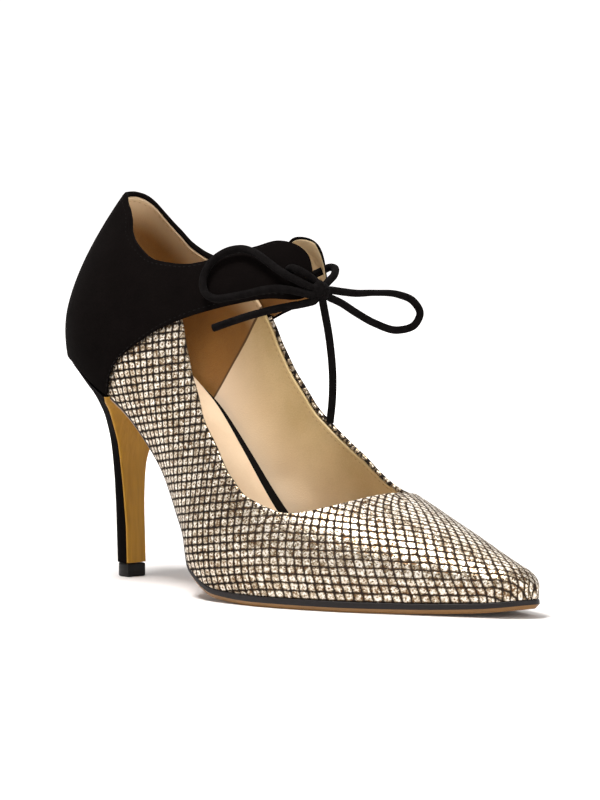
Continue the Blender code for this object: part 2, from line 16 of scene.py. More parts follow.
import bmesh
import bpy
import numpy as np
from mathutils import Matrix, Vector


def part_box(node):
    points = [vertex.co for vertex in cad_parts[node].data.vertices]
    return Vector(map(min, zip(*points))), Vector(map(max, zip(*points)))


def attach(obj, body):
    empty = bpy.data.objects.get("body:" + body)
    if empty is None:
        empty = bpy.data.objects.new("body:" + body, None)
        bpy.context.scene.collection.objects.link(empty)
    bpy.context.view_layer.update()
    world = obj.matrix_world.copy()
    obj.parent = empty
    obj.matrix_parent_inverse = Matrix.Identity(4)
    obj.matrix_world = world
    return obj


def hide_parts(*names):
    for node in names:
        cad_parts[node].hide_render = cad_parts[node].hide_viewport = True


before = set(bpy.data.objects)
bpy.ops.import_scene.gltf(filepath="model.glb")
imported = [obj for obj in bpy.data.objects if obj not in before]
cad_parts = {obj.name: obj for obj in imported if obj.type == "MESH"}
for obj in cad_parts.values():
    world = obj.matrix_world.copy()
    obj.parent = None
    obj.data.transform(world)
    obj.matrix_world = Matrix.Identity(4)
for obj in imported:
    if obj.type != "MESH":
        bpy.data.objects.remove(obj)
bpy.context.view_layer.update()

LOG = logging.getLogger("mary_jane")
MM = 0.001
TINY = 1e-9
NARROW = 1e-3
# Angles round a section of the last, at its lower edge and at its top.
FEATHER = math.radians(-55.0)
CROWN = math.radians(90.0)
# Doubled points within MERGE become one, and edges sharper than CREASE stay sharp.
MERGE = 0.002
CREASE = math.radians(50.0)
# A cord's points to a stretch and round its profile, and its cut: flat share and shoulder in radii.
ROUTE_FINENESS = 40
CORD_SIDES = 18
CUT_FLAT = 0.8
CUT_SHOULDER = 0.15
# Layers of noise in a fine grain and in a broad cloud.
FINE = 4.0
BROAD = 3.0

Array = np.ndarray
Colour = Point = tuple[float, float, float]
Span = tuple[float, float]
Route = tuple[Point, ...]
Piece = bpy.types.Object
Material = bpy.types.Material
Socket = bpy.types.NodeSocket

# Lower front edge of the suede over the net: places along the last and angles in degrees.
SUEDE_EDGE: tuple[Span, ...] = (
    (36.6, -55.0), (36.9, -33.0), (39.4, -4.0), (44.9, 14.5), (50.1, 27.0), (56.0, 40.0),
)


class Side(Enum):
    """Side of the shoe, with the sign of Y on it."""

    OUTER = -1
    INNER = 1


class Kind(Enum):
    """What a node tree belongs to, with the name of its surface shader."""

    MATERIAL = "Principled BSDF"
    WORLD = "Background"


class Slot(Enum):
    """Material slots of the record."""

    NET = "glitter_net"
    SUEDE = "black_suede"
    SOLE = "sole_leather"
    SOCK = "sock_leather"
    BOARD = "black_board"
    LIFT = "lift_rubber"
    CORD = "suede_cord"


def run_along(points: Array, axis: int = 0) -> Array:
    """Distance travelled along rows of points, summed from chord to chord.

    Args:
        points: Points as (..., 3).
        axis: Axis of the array along which the rows run.

    Returns:
        Distance of each point from the first of its row.
    """
    chord = np.linalg.norm(np.diff(points, axis=axis), axis=-1)
    start = np.zeros_like(np.take(chord, [0], axis=axis))
    return np.concatenate([start, np.cumsum(chord, axis=axis)], axis=axis)


def read_along(points: Array, run: Array, places: Array) -> Array:
    """Points at places along a row of points, straight between its neighbours."""
    return np.stack([np.interp(places, run, column) for column in points.T], axis=-1)


def cubic(knots: Array, values: Array, slopes: Array, query: Array) -> Array:
    """Cubic from knot to knot that meets the values and the slopes at both.

    Args:
        knots: Increasing places of the knots.
        values: Numbers or points at the knots.
        slopes: Their slopes.
        query: Places to read.

    Returns:
        The curve at those places: a soft step between two values, and a share of both slopes.
    """
    k = np.clip(np.searchsorted(knots, query, side="right") - 1, 0, len(knots) - 2)
    wide = query.shape + (1,) * (values.ndim - 1)
    step = (knots[k + 1] - knots[k]).reshape(wide)
    t = np.clip((query - knots[k]).reshape(wide) / step, 0, 1)
    rise = values[k] + (values[k + 1] - values[k]) * t * t * (3 - 2 * t)
    return rise + step * (slopes[k] * t * (1 - t) ** 2 - slopes[k + 1] * t * t * (1 - t))


def smooth_through(knots: Array, values: Array, query: Array) -> Array:
    """Smooth curve through the knots that never swings past them.

    Args:
        knots: Increasing places of the knots.
        values: Values at the knots.
        query: Places to read.

    Returns:
        The curve's values, from a cubic whose slopes are harmonic means of the chords.
    """
    step = np.diff(knots)
    slope = np.diff(values) / step
    before = 2 * step[1:] + step[:-1]
    after = step[1:] + 2 * step[:-1]
    same = slope[:-1] * slope[1:] > 0
    safe = np.where(same, slope[:-1], 1.0), np.where(same, slope[1:], 1.0)
    inner = np.where(same, (before + after) / (before / safe[0] + after / safe[1]), 0.0)
    return cubic(knots, values, np.concatenate([slope[:1], inner, slope[-1:]]), np.asarray(query, float))


def smoothstep(low: float, high: float, value: Array) -> Array:
    """Soft step from 0 at low to 1 at high."""
    t = np.clip((np.asarray(value, float) - low) / (high - low), 0, 1)
    return t * t * (3 - 2 * t)


def read_columns(rows: tuple[tuple[float, ...], ...], query: Array) -> tuple[Array, ...]:
    """Columns of a table, read smoothly at places along its first column."""
    table = np.array(rows)
    return tuple(smooth_through(table[:, 0], column, query) for column in table.T[1:])


def edge_round(distance: Array, radius: float) -> Array:
    """Share of a wall's half thickness left near its edge: a quarter circle of that radius."""
    turn = np.clip(1 - np.asarray(distance, float) / radius, 0, 1)
    return np.sqrt(1 - turn**2)


def cosine_spaced(count: int) -> Array:
    """Places from 0 to 1 that crowd at both ends."""
    return (1 - np.cos(np.linspace(0, math.pi, count))) / 2


def unit(vectors: Array) -> Array:
    """Vectors brought to length 1."""
    return vectors / np.maximum(np.linalg.norm(vectors, axis=-1, keepdims=True), TINY)


def smooth_route(points: Array, spacing: float) -> Array:
    """Points at an even spacing on a smooth curve through a route.

    Args:
        points: The route's own points.
        spacing: Distance between the points that come back.

    Returns:
        Points on a cubic through the route, with slopes from its neighbours.
    """
    chord = run_along(points)
    fine = np.linspace(0, chord[-1], ROUTE_FINENESS * len(points))
    curve = cubic(chord, points, np.gradient(points, chord, axis=0), fine)
    length = run_along(curve)
    places = np.linspace(0, length[-1], max(2, round(length[-1] / spacing) + 1))
    return read_along(curve, length, places)


@dataclass(frozen=True)
class Placement:
    """Where the frame of the last stands in the part's frame, read off the top lift."""

    lift_middle: float = 20.6

    def offset(self) -> Array:
        """Shift from the last's frame to the part's frame."""
        low, high = (np.array(corner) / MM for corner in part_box("top_lift"))
        return np.array([*((low + high) / 2)[:2], low[2]]) - np.array([self.lift_middle, 0.0, 0.0])


OFFSET = Placement().offset()


def to_part(points: Array) -> Array:
    """Points of the last's frame in metres in the part's frame."""
    return (np.asarray(points, float) + OFFSET) * MM


@dataclass
class Skin:
    """Points and faces of one piece, gathered from grids of points."""

    points: list[Array] = field(default_factory=list)
    quads: list[Array] = field(default_factory=list)
    maps: list[Array] = field(default_factory=list)
    marks: list[Array] = field(default_factory=list)
    count: int = 0

    def grid(self, points: Array, uv: Array | None = None, mark: Array | float = 0.0,
             around: bool = False) -> Array:
        """Add one grid, or a batch of grids, with its four-sided faces.

        Args:
            points: Points as (..., rows, columns, 3).
            uv: Map coordinates as (..., rows, columns, 2), or none.
            mark: One value a point, or one for all.
            around: Whether the last column joins the first.

        Returns:
            The numbers of the points, as (..., rows, columns).
        """
        shape = points.shape[:-1]
        total = int(np.prod(shape))
        numbers = self.count + np.arange(total).reshape(shape)
        self.count += total
        self.points.append(points.reshape(-1, 3))
        self.maps.append(np.zeros((total, 2)) if uv is None else np.asarray(uv, float).reshape(-1, 2))
        self.marks.append(np.broadcast_to(mark, shape).reshape(-1).astype(float))
        looped = np.concatenate([numbers, numbers[..., :1]], axis=-1) if around else numbers
        self.strip(looped[..., :-1, :], looped[..., 1:, :])
        return numbers

    def strip(self, first: Array, second: Array) -> None:
        """Join two rows of points, or two batches of rows, with four-sided faces."""
        corners = (first[..., :-1], first[..., 1:], second[..., 1:], second[..., :-1])
        self.quads.append(np.stack(corners, axis=-1).reshape(-1, 4))

    def wall(self, face: Array, back: Array, uv: Array | None = None, mark: Array | float = 0.0,
             closed: tuple[str, ...] = ()) -> tuple[Array, Array]:
        """Add two facing grids and the strips that close the named edges between them.

        Args:
            face: Grid of the outer face.
            back: Grid of the inner face, of the same shape.
            uv: Map coordinates for both.
            mark: Mark for both.
            closed: Edges to close: low, start or end.

        Returns:
            The numbers of the points of both grids.
        """
        edges = {"low": np.s_[:, 0], "start": np.s_[0, :], "end": np.s_[-1, :]}
        outer, inner = self.grid(face, uv, mark), self.grid(back, uv, mark)
        for name in closed:
            self.strip(outer[edges[name]], inner[edges[name]])
        return outer, inner

    def build(self, name: str, material: Material) -> Piece:
        """Make the object, with doubled points merged and its faces turned outwards.

        Args:
            name: Name of the piece.
            material: Its finish.

        Returns:
            The new object, at the origin, with a map named cut and an attribute named mark.
        """
        quads = np.concatenate(self.quads)
        mesh = bpy.data.meshes.new(name)
        mesh.vertices.add(self.count)
        mesh.vertices.foreach_set("co", to_part(np.concatenate(self.points)).ravel())
        mesh.loops.add(quads.size)
        mesh.loops.foreach_set("vertex_index", quads.ravel())
        mesh.polygons.add(len(quads))
        mesh.polygons.foreach_set("loop_start", np.arange(0, quads.size, 4))
        mesh.update(calc_edges=True)
        layer = mesh.uv_layers.new(name="cut")
        layer.uv.foreach_set("vector", np.concatenate(self.maps)[quads.ravel()].ravel())
        mark = mesh.attributes.new("mark", "FLOAT", "POINT")
        mark.data.foreach_set("value", np.concatenate(self.marks))
        work = bmesh.new()
        work.from_mesh(mesh)
        bmesh.ops.remove_doubles(work, verts=work.verts, dist=MERGE * MM)
        bmesh.ops.dissolve_degenerate(work, edges=work.edges, dist=MERGE * MM)
        bmesh.ops.recalc_face_normals(work, faces=work.faces)
        work.to_mesh(mesh)
        work.free()
        mesh.shade_smooth()
        mesh.set_sharp_from_angle(angle=CREASE)
        mesh.materials.append(material)
        piece = bpy.data.objects.new(name, mesh)
        bpy.context.scene.collection.objects.link(piece)
        LOG.info("%s: %d faces", name, len(mesh.polygons))
        return piece


def tube(path: Array, radius: float, wide: Array | float = 1.0) -> Array:
    """Round profile carried along a path, closed to a point at both cut ends.

    Args:
        path: Points of the centre line.
        radius: Radius of the profile.
        wide: Share by which the profile is wider one way and thinner the other.

    Returns:
        A grid of rings. Each ring stands square to the path, in a frame taken from the
        direction in which the path varies least.
    """
    tangent = unit(np.gradient(path, axis=0))
    least = np.linalg.svd(path - path.mean(axis=0))[2][-1]
    across = unit(np.cross(np.broadcast_to(least, path.shape), tangent))
    up = np.cross(tangent, across)
    turn = np.linspace(0, 2 * math.pi, CORD_SIDES, endpoint=False)
    wide = np.broadcast_to(wide, len(path))[:, None]
    ring = across[:, None] * (np.cos(turn) / wide)[..., None]
    ring = ring + up[:, None] * (np.sin(turn) * wide)[..., None]
    rings = path[:, None] + radius * ring
    ends = []
    for k, sign in ((0, 1.0), (-1, -1.0)):
        cut = path[k] + 0 * ring[k]
        rim = path[k] + CUT_FLAT * radius * ring[k]
        shoulder = path[k] + radius * ring[k] + sign * tangent[k] * CUT_SHOULDER * radius
        ends.append(np.stack([cut, rim, shoulder]))
    return np.concatenate([ends[0], rings[1:-1], ends[1][::-1]])


@dataclass(frozen=True)
class Last:
    """Last of the shoe, given by sections from heel to toe.

    z is the height of the feather line, tilt leans the section forward in degrees, outer
    and inner are half widths, feather_* is the share of them left at the feather line,
    widest and crown are heights up the section and full is its squareness.
    """

    length: float = 225.0
    heel_round: float = 29.0
    heel_power: float = 0.9
    toe_round: float = 9.0
    bulge: float = 5.5
    bulge_height: float = 60.0
    bulge_fade: float = 40.0
    bulge_power: float = 1.5
    end_stretch: float = 40.0
    slope_run: float = 1.0
    throat_start: float = 130.0
    throat_end: float = 158.0
    throat_fan: float = 174.0
    rim_radius: float = 38.0
    turn_columns: int = 32
    side_columns: int = 70
    vamp_columns: int = 44
    names: tuple[str, ...] = (
        "x", "z", "tilt", "centre", "outer", "inner",
        "feather_outer", "feather_inner", "widest", "crown", "full",
    )
    sections: tuple[tuple[float, ...], ...] = (
        (0.0, 84.0, 21.0, 0.0, 27.5, 27.5, 0.86, 0.86, 17.0, 76.0, 1.45),
        (15.0, 80.8, 21.2, 0.0, 27.5, 27.5, 0.86, 0.86, 17.6, 68.6, 1.50),
        (30.0, 72.8, 23.8, 0.0, 27.5, 27.0, 0.86, 0.88, 20.2, 69.8, 1.65),
        (45.0, 63.6, 31.8, 0.0, 27.0, 26.5, 0.85, 0.90, 20.6, 78.4, 1.80),
        (62.0, 46.6, 38.7, 0.0, 28.0, 27.0, 0.80, 0.90, 18.8, 89.7, 1.90),
        (80.0, 25.2, 35.0, 0.0, 33.3, 29.0, 0.82, 0.92, 16.0, 80.0, 2.00),
        (95.0, 10.4, 29.0, 0.0, 39.0, 33.5, 0.92, 0.94, 12.0, 70.0, 2.00),
        (112.0, 4.8, 20.0, 0.0, 40.8, 36.5, 0.955, 0.95, 10.0, 56.5, 2.10),
        (130.0, 4.0, 11.0, 0.0, 40.0, 37.5, 0.96, 0.96, 9.0, 46.0, 2.10),
        (160.0, 4.0, 3.0, 1.0, 33.5, 33.5, 0.97, 0.97, 8.0, 34.8, 2.10),
        (185.0, 4.2, 0.0, 3.0, 23.5, 24.0, 0.97, 0.97, 7.0, 25.6, 2.00),
        (210.0, 5.2, 0.0, 5.0, 12.5, 13.0, 0.96, 0.96, 6.0, 14.6, 1.90),
        (225.0, 6.8, 0.0, 6.5, 6.0, 6.0, 0.95, 0.95, 4.0, 7.8, 1.90),
    )
    topline: Route = (
        (0.0, 57.0, 57.0), (5.0, 59.0, 56.0), (10.0, 59.0, 53.0), (15.0, 56.5, 48.0),
        (20.0, 51.0, 42.0), (25.0, 47.5, 40.0), (30.0, 45.5, 39.0), (36.0, 43.0, 36.5),
        (44.0, 36.0, 31.0), (50.0, 28.0, 25.0), (55.0, 22.0, 20.0), (62.0, 17.5, 17.5),
        (70.0, 16.5, 18.5), (80.0, 20.5, 24.0), (95.0, 28.5, 36.0), (112.0, 32.0, 43.0),
        (130.0, 35.0, 45.0),
    )

    def value(self, name: str, x: Array) -> Array:
        """Value of one named column of the sections at x."""
        rows = np.array(self.sections)
        return smooth_through(rows[:, 0], rows[:, self.names.index(name)], x)

    def heel_end(self, x: Array) -> Array:
        """Share of the half width left where the plan rounds off at the heel."""
        heel = np.clip(1 - x / self.heel_round, 0, 1)
        return np.sqrt(1 - heel**2) ** self.heel_power

    def toe_end(self, x: Array) -> Array:
        """Share of the width and height left where the toe rounds off."""
        toe = np.clip(1 - (self.length - x) / self.toe_round, 0, 1)
        return np.sqrt(1 - toe**2)

    def surface(self, x: Array, angle: Array, side: Side, out: Array | float = 0.0) -> Array:
        """Points of the last, moved outwards.

        Below the widest point the section is a sine tuck to the feather line, and above it
        a superellipse up to the crown. The section leans forward by its tilt, and the back
        bulges by half a sine wave.

        Args:
            x: Places along the last.
            angle: Angle round the section: -55 degrees at the feather line, 90 at the crown.
            side: Side of the shoe.
            out: Distance outwards.

        Returns:
            Points as (..., 3).
        """
        x, angle, out = np.broadcast_arrays(*(np.asarray(each, float) for each in (x, angle, out)))
        name = side.name.lower()
        half = (self.value(name, x) + out) * self.heel_end(x) * self.toe_end(x)
        widest = self.value("widest", x)
        rise = (self.value("crown", x) + out - widest) * self.toe_end(x)
        power = 2 / self.value("full", x)
        below = np.clip(np.sin(angle) / math.sin(FEATHER), 0, 1)
        above = np.clip(angle, 0, CROWN)
        height = widest * (1 - below) + rise * np.sin(above) ** power
        tuck = 1 - (1 - self.value("feather_" + name, x)) * below**2
        width = half * tuck * np.clip(np.cos(above), TINY, 1) ** power
        bulge = self.bulge * np.sin(math.pi * height / self.bulge_height)
        bulge = bulge * np.clip(1 - x / self.bulge_fade, 0, 1) ** self.bulge_power
        ends = np.clip((x - self.length) / self.end_stretch + 1, 0, 1)
        ends = ends - np.clip(1 - x / self.end_stretch, 0, 1)
        tilt = np.radians(self.value("tilt", x))
        return np.stack([
            x + out * ends - bulge + height * np.sin(tilt),
            self.value("centre", x) + side.value * width,
            self.value("z", x) + height * np.cos(tilt),
        ], axis=-1)

    def feather_normal(self, x: Array) -> Array:
        """Unit vectors square to the feather line, in the plane of X and Z."""
        rise = self.value("z", x + self.slope_run / 2) - self.value("z", x - self.slope_run / 2)
        return unit(np.stack([-rise, np.zeros_like(x), np.full_like(x, self.slope_run)], axis=-1))

    def top_angle(self, x: Array, side: Side, rim: float = 0.0) -> Array:
        """Angle at which the upper ends: along the sides, round the throat, then the crown.

        Args:
            x: Places along the last.
            side: Side of the shoe.
            rim: How far to stay below that edge.

        Returns:
            Angles. Round the throat they follow a quarter of an ellipse up to the crown.
        """
        rows = np.array(self.topline)
        lower = rim / self.rim_radius
        column = np.radians(rows[:, 1 if side is Side.OUTER else 2]) - lower
        start = column[-1]
        along = smooth_through(rows[:, 0], column, x)
        share = np.clip((x - self.throat_start) / (self.throat_end + rim - self.throat_start), 0, 1)
        throat = start + (CROWN - start) * (1 - np.sqrt(1 - share**2))
        return np.where(x <= self.throat_start, along, throat)

    def stations(self, rim: float = 0.0) -> Array:
        """Places along the last, closer together where the plan or the throat turns.

        Args:
            rim: How far in front of the throat its turn ends.

        Returns:
            Increasing places from heel to toe.
        """
        turn = np.linspace(0, math.pi / 2, self.turn_columns)
        throat_end = self.throat_end + rim
        parts = [self.heel_round * (1 - np.cos(turn))]
        parts.append(np.linspace(self.heel_round, self.throat_start, self.side_columns)[1:])
        parts.append(self.throat_start + (throat_end - self.throat_start) * np.sin(turn[1:]))
        parts.append(np.linspace(throat_end, self.length - self.toe_round, self.vamp_columns)[1:])
        parts.append(self.length - self.toe_round * (1 - np.sin(turn[1:])))
        return np.concatenate(parts)

    def columns(self, rim: float = 0.0) -> tuple[Array, Array]:
        """Lower and upper ends of the upper's columns, upright but fanned round the throat.

        Args:
            rim: How far in front of the throat its turn ends.

        Returns:
            Places along the last at the feather line and at the top edge.
        """
        x = self.stations(rim)
        throat_end = self.throat_end + rim
        throat = (x > self.throat_start) & (x <= throat_end)
        ahead = x > throat_end
        low = x.copy()
        low[throat] = np.linspace(self.throat_start, self.throat_fan, throat.sum() + 1)[1:]
        left = (self.length - self.throat_fan) / (self.length - throat_end)
        low[ahead] = self.throat_fan + (x[ahead] - throat_end) * left
        return low, x


@dataclass(frozen=True)
class NetCut:
    """How the net lies on the last: cut on the bias and unrolled from the toe.

    On the vamp the fabric unrolls to a cone whose point lies in front of the toe: a point
    has a distance round the section from the feather line of its side, and a distance back
    along that line. Towards the heel the side is flat, and height and length take their
    place, turned so that the rows rise to the toe until they bend level. One set of threads
    keeps even distances from the feather line. The other crosses it and leans back, more and
    more towards the crown. On the other side of the shoe the two sets change places, so that
    they meet along the crown.
    """

    last: Last
    cell: float = 3.05
    cone: float = 0.582
    cone_point: float = 25.1
    across_feather: float = 0.9
    lean_power: float = 1.6
    flat_from: float = 170.0
    flat_to: float = 118.0
    join: float = 142.0
    waist_rise: float = 0.13
    waist_bend: float = 136.0
    waist_bend_run: float = 9.0
    waist_near: float = 1.06
    waist_along: float = 0.92
    toe_fit: Span = (202.0, 215.0)
    toe_blend: Span = (209.0, 217.0)
    lattice: tuple[int, int] = (226, 120)

    def coordinates(self, x: Array, angle: Array, side: Side) -> Array:
        """Map coordinates of the net, counted in cells.

        Args:
            x: Places along the last.
            angle: Angles round the section.
            side: Side of the shoe.

        Returns:
            Coordinates as (..., 2).
        """
        near, far = self._unrolled(side)
        pair = (near, far) if side is Side.OUTER else (far, near)
        return np.stack([self._read(grid, x, angle) for grid in pair], axis=-1) / self.cell

    def _lattice_points(self, side: Side) -> tuple[Array, Array]:
        """Places along the last and points on a regular lattice of it."""
        x = np.linspace(0, self.last.length, self.lattice[0])[:, None]
        return x, self.last.surface(x, np.linspace(FEATHER, CROWN, self.lattice[1]), side)

    def _unrolled(self, side: Side) -> tuple[Array, Array]:
        """Places of the two sets of threads on the lattice.

        Args:
            side: Side of the shoe.

        Returns:
            Distances up from the feather line, and distances back along it.
        """
        x, points = self._lattice_points(side)
        edges = np.stack([self._lattice_points(other)[1][:, 0] for other in Side])
        run = run_along(edges, axis=1).mean(axis=0)
        back = (run[-1] - run)[:, None] + self.cone_point
        girth = run_along(points, axis=1)
        vamp = smoothstep(self.last.throat_start, self.last.throat_end, x)
        girth = girth * (1 + (self.cone * back / girth[:, -1:] - 1) * vamp)
        k = int(round(self.join / self.last.length * (self.lattice[0] - 1)))
        start = points[k, 0]
        lean = np.clip(girth / (self.cone * back), 0, 1) ** self.lean_power
        leaning = back * (self.across_feather + (self.cone - self.across_feather) * lean)
        short = (self.waist_bend - points[..., 0]) / self.waist_bend_run
        rise = -self.waist_rise * self.waist_bend_run * np.logaddexp(0, short)
        height = points[..., 2] - start[2]
        length = start[0] - points[..., 0] - self.waist_rise * height
        behind = self.across_feather * back[k] + self.waist_along * length
        above = self.waist_near * (height - rise)
        share = smoothstep(self.flat_to, self.flat_from, x)
        near = share * girth + (1 - share) * above
        far = share * leaning + (1 - share) * behind
        return self._over_toe(near, far, x, points)

    def _over_toe(self, near: Array, far: Array, x: Array, points: Array) -> tuple[Array, Array]:
        """Carry both sets of threads on over the round of the toe, without drawing them together.

        Args:
            near: Places of the one set on the lattice.
            far: Places of the other set.
            x: Places along the last.
            points: Points of the lattice.

        Returns:
            Both sets. Over the toe their sum is linear in the point, and their difference
            linear in its distance from the middle, fitted to the sections behind the toe.
        """
        aside = np.abs(points[..., 1] - self.last.value("centre", x))
        even = np.stack([np.ones_like(aside), points[..., 0], aside, points[..., 2]], axis=-1)
        ring = (x[:, 0] > self.toe_fit[0]) & (x[:, 0] < self.toe_fit[1])
        share = smoothstep(*self.toe_blend, x)
        sets = []
        for value, terms in ((near + far, even), (near - far, even * aside[..., None])):
            flat = terms[ring].reshape(-1, terms.shape[-1])
            fit = np.linalg.lstsq(flat, value[ring].ravel(), rcond=None)[0]
            sets.append(value + (terms @ fit - value) * share)
        return (sets[0] + sets[1]) / 2, (sets[0] - sets[1]) / 2

    def _read(self, grid: Array, x: Array, angle: Array) -> Array:
        """Values of a lattice between its points, mixed from the four around each place.

        Args:
            grid: Values on the lattice.
            x: Places along the last.
            angle: Angles round the section.

        Returns:
            Values at those places.
        """
        x, angle = np.broadcast_arrays(x, angle)
        i = np.clip(x / self.last.length, 0, 1) * (self.lattice[0] - 1)
        j = np.clip((angle - FEATHER) / (CROWN - FEATHER), 0, 1) * (self.lattice[1] - 1)
        i0 = np.minimum(i.astype(int), self.lattice[0] - 2)
        j0 = np.minimum(j.astype(int), self.lattice[1] - 2)
        a, b = i - i0, j - j0
        low = grid[i0, j0] * (1 - b) + grid[i0, j0 + 1] * b
        high = grid[i0 + 1, j0] * (1 - b) + grid[i0 + 1, j0 + 1] * b
        return low * (1 - a) + high * a


class Value:
    """A number socket of a shader that takes part in Python arithmetic."""

    def __init__(self, shader: Shader, socket: Socket) -> None:
        """Wrap one output socket of a shader's node."""
        self.shader = shader
        self.socket = socket

    def _math(self, operation: str, *values: Number) -> Value:
        """Add a Math node on the given values."""
        return self.shader.value(0, "ShaderNodeMath", {"operation": operation}, dict(enumerate(values)))

    def __add__(self, other: Number) -> Value:
        """Sum."""
        return self._math("ADD", self, other)

    __radd__ = __add__

    def __sub__(self, other: Number) -> Value:
        """Difference."""
        return self._math("SUBTRACT", self, other)

    def __rsub__(self, other: Number) -> Value:
        """Difference, from a number."""
        return self._math("SUBTRACT", other, self)

    def __mul__(self, other: Number) -> Value:
        """Product."""
        return self._math("MULTIPLY", self, other)

    __rmul__ = __mul__

    def __pow__(self, other: Number) -> Value:
        """Power."""
        return self._math("POWER", self, other)

    def __abs__(self) -> Value:
        """Size without sign."""
        return self._math("ABSOLUTE", self)

    def fraction(self) -> Value:
        """Part after the point."""
        return self._math("FRACT", self)

    def floor(self) -> Value:
        """Whole part."""
        return self._math("FLOOR", self)

    def centred(self) -> Value:
        """Noise about 0, from noise about 0.5."""
        return self - 0.5

    def step(self, low: Number, high: Number) -> Value:
        """Soft step from 0 at low to 1 at high."""
        settings, ends = {"interpolation_type": "SMOOTHSTEP"}, {"From Min": low, "From Max": high}
        return self.shader.value("Result", "ShaderNodeMapRange", settings, {"Value": self, **ends})


Number = Union[float, Value]


class Shader:
    """Node tree of one material, or of the world."""

    def __init__(self, name: str, kind: Kind = Kind.MATERIAL) -> None:
        """Start a bare tree with its one surface shader.

        Args:
            name: Name of the material or world.
            kind: Which of them it is.
        """
        self.owner = getattr(bpy.data, kind.name.lower() + "s").new(name)
        self.owner.use_nodes = True
        self.tree = self.owner.node_tree
        self.surface = self.tree.nodes[kind.value]

    def node(self, kind: str, settings: dict | None = None,
             sockets: dict | None = None) -> bpy.types.Node:
        """Add any node.

        Args:
            kind: Type of the node.
            settings: Properties set first, with stops for a ramp's places and colours.
            sockets: Values or links of its inputs, by name or number.

        Returns:
            The new node.
        """
        node = self.tree.nodes.new(kind)
        for name, value in (settings or {}).items():
            if name == "stops":
                self._stops(node.color_ramp, value)
            else:
                setattr(node, name, value)
        for name, value in (sockets or {}).items():
            self.feed(node.inputs[name], value)
        return node

    def value(self, output: int | str, kind: str, settings: dict | None = None,
              sockets: dict | None = None) -> Value:
        """Add any node and wrap one of its outputs."""
        return Value(self, self.node(kind, settings, sockets).outputs[output])

    def _stops(self, ramp: bpy.types.ColorRamp, stops: list[tuple[float, Colour]]) -> None:
        """Set a ramp's places and colours.

        Args:
            ramp: Ramp to set.
            stops: Place and colour of each stop.
        """
        while len(ramp.elements) < len(stops):
            ramp.elements.new(1.0)
        for element, (place, colour) in zip(ramp.elements, stops):
            element.position = place
            element.color = (*colour, 1.0)

    def feed(self, socket: Socket, value: object) -> None:
        """Link a socket, or set its constant.

        Args:
            socket: Input socket.
            value: Value or socket to link, or a constant.
        """
        if isinstance(value, Value):
            value = value.socket
        if isinstance(value, Socket):
            self.tree.links.new(value, socket)
        elif isinstance(value, tuple) and socket.type == "RGBA":
            socket.default_value = (*value, 1.0)
        else:
            socket.default_value = value

    def set(self, **sockets: object) -> None:
        """Feed the surface shader's sockets, named with _ for each space."""
        for name, value in sockets.items():
            self.feed(self.surface.inputs[name.replace("_", " ")], value)

    def place(self) -> Socket:
        """Object coordinates, in metres."""
        return self.node("ShaderNodeTexCoord").outputs["Object"]

    def scaled_place(self, scale: Point) -> Socket:
        """Object coordinates stretched by a scale along each axis."""
        return self.node("ShaderNodeMapping", None, {"Vector": self.place(), "Scale": scale}).outputs[0]

    def parts(self, vector: Socket, kind: str = "XYZ") -> tuple[Value, ...]:
        """The three numbers of a vector, or of a colour where kind is Color."""
        node = self.node("ShaderNodeSeparate" + kind, None, {0: vector})
        return tuple(Value(self, socket) for socket in node.outputs)

    def map(self) -> tuple[Value, ...]:
        """The two coordinates of the piece's own map."""
        return self.parts(self.node("ShaderNodeUVMap", {"uv_map": "cut"}).outputs[0])[:2]

    def mark(self) -> Value:
        """The piece's own mark."""
        return self.value("Fac", "ShaderNodeAttribute", {"attribute_name": "mark"})

    def noise(self, size: float, detail: float = 2.0, where: Socket | None = None) -> Value:
        """Soft noise.

        Args:
            size: Size of its blobs in millimetres, or in the units of where.
            detail: Finer layers.
            where: Coordinates, which are the object's own if left out.

        Returns:
            Values about 0.5.
        """
        scale = 1 / (size * MM) if where is None else 1 / size
        sockets = {"Vector": where or self.place(), "Scale": scale, "Detail": detail}
        return self.value("Fac", "ShaderNodeTexNoise", None, sockets)

    def ramp(self, value: Value, stops: list[tuple[float, Colour]]) -> Socket:
        """Colour read off a ramp."""
        return self.node("ShaderNodeValToRGB", {"stops": stops}, {"Fac": value}).outputs["Color"]

    def mix(self, share: Number, first: object, second: object) -> Socket:
        """Colour between two colours."""
        sockets = {0: share, 6: first, 7: second}
        return self.node("ShaderNodeMix", {"data_type": "RGBA"}, sockets).outputs[2]

    def blend(self, share: Value, first: Number, second: Number) -> Value:
        """Number between two numbers."""
        return first * (1 - share) + second * share

    def bump(self, height: Value) -> Socket:
        """Normal over a height given in millimetres."""
        sockets = {"Height": height, "Strength": 1.0, "Distance": MM}
        return self.node("ShaderNodeBump", None, sockets).outputs["Normal"]


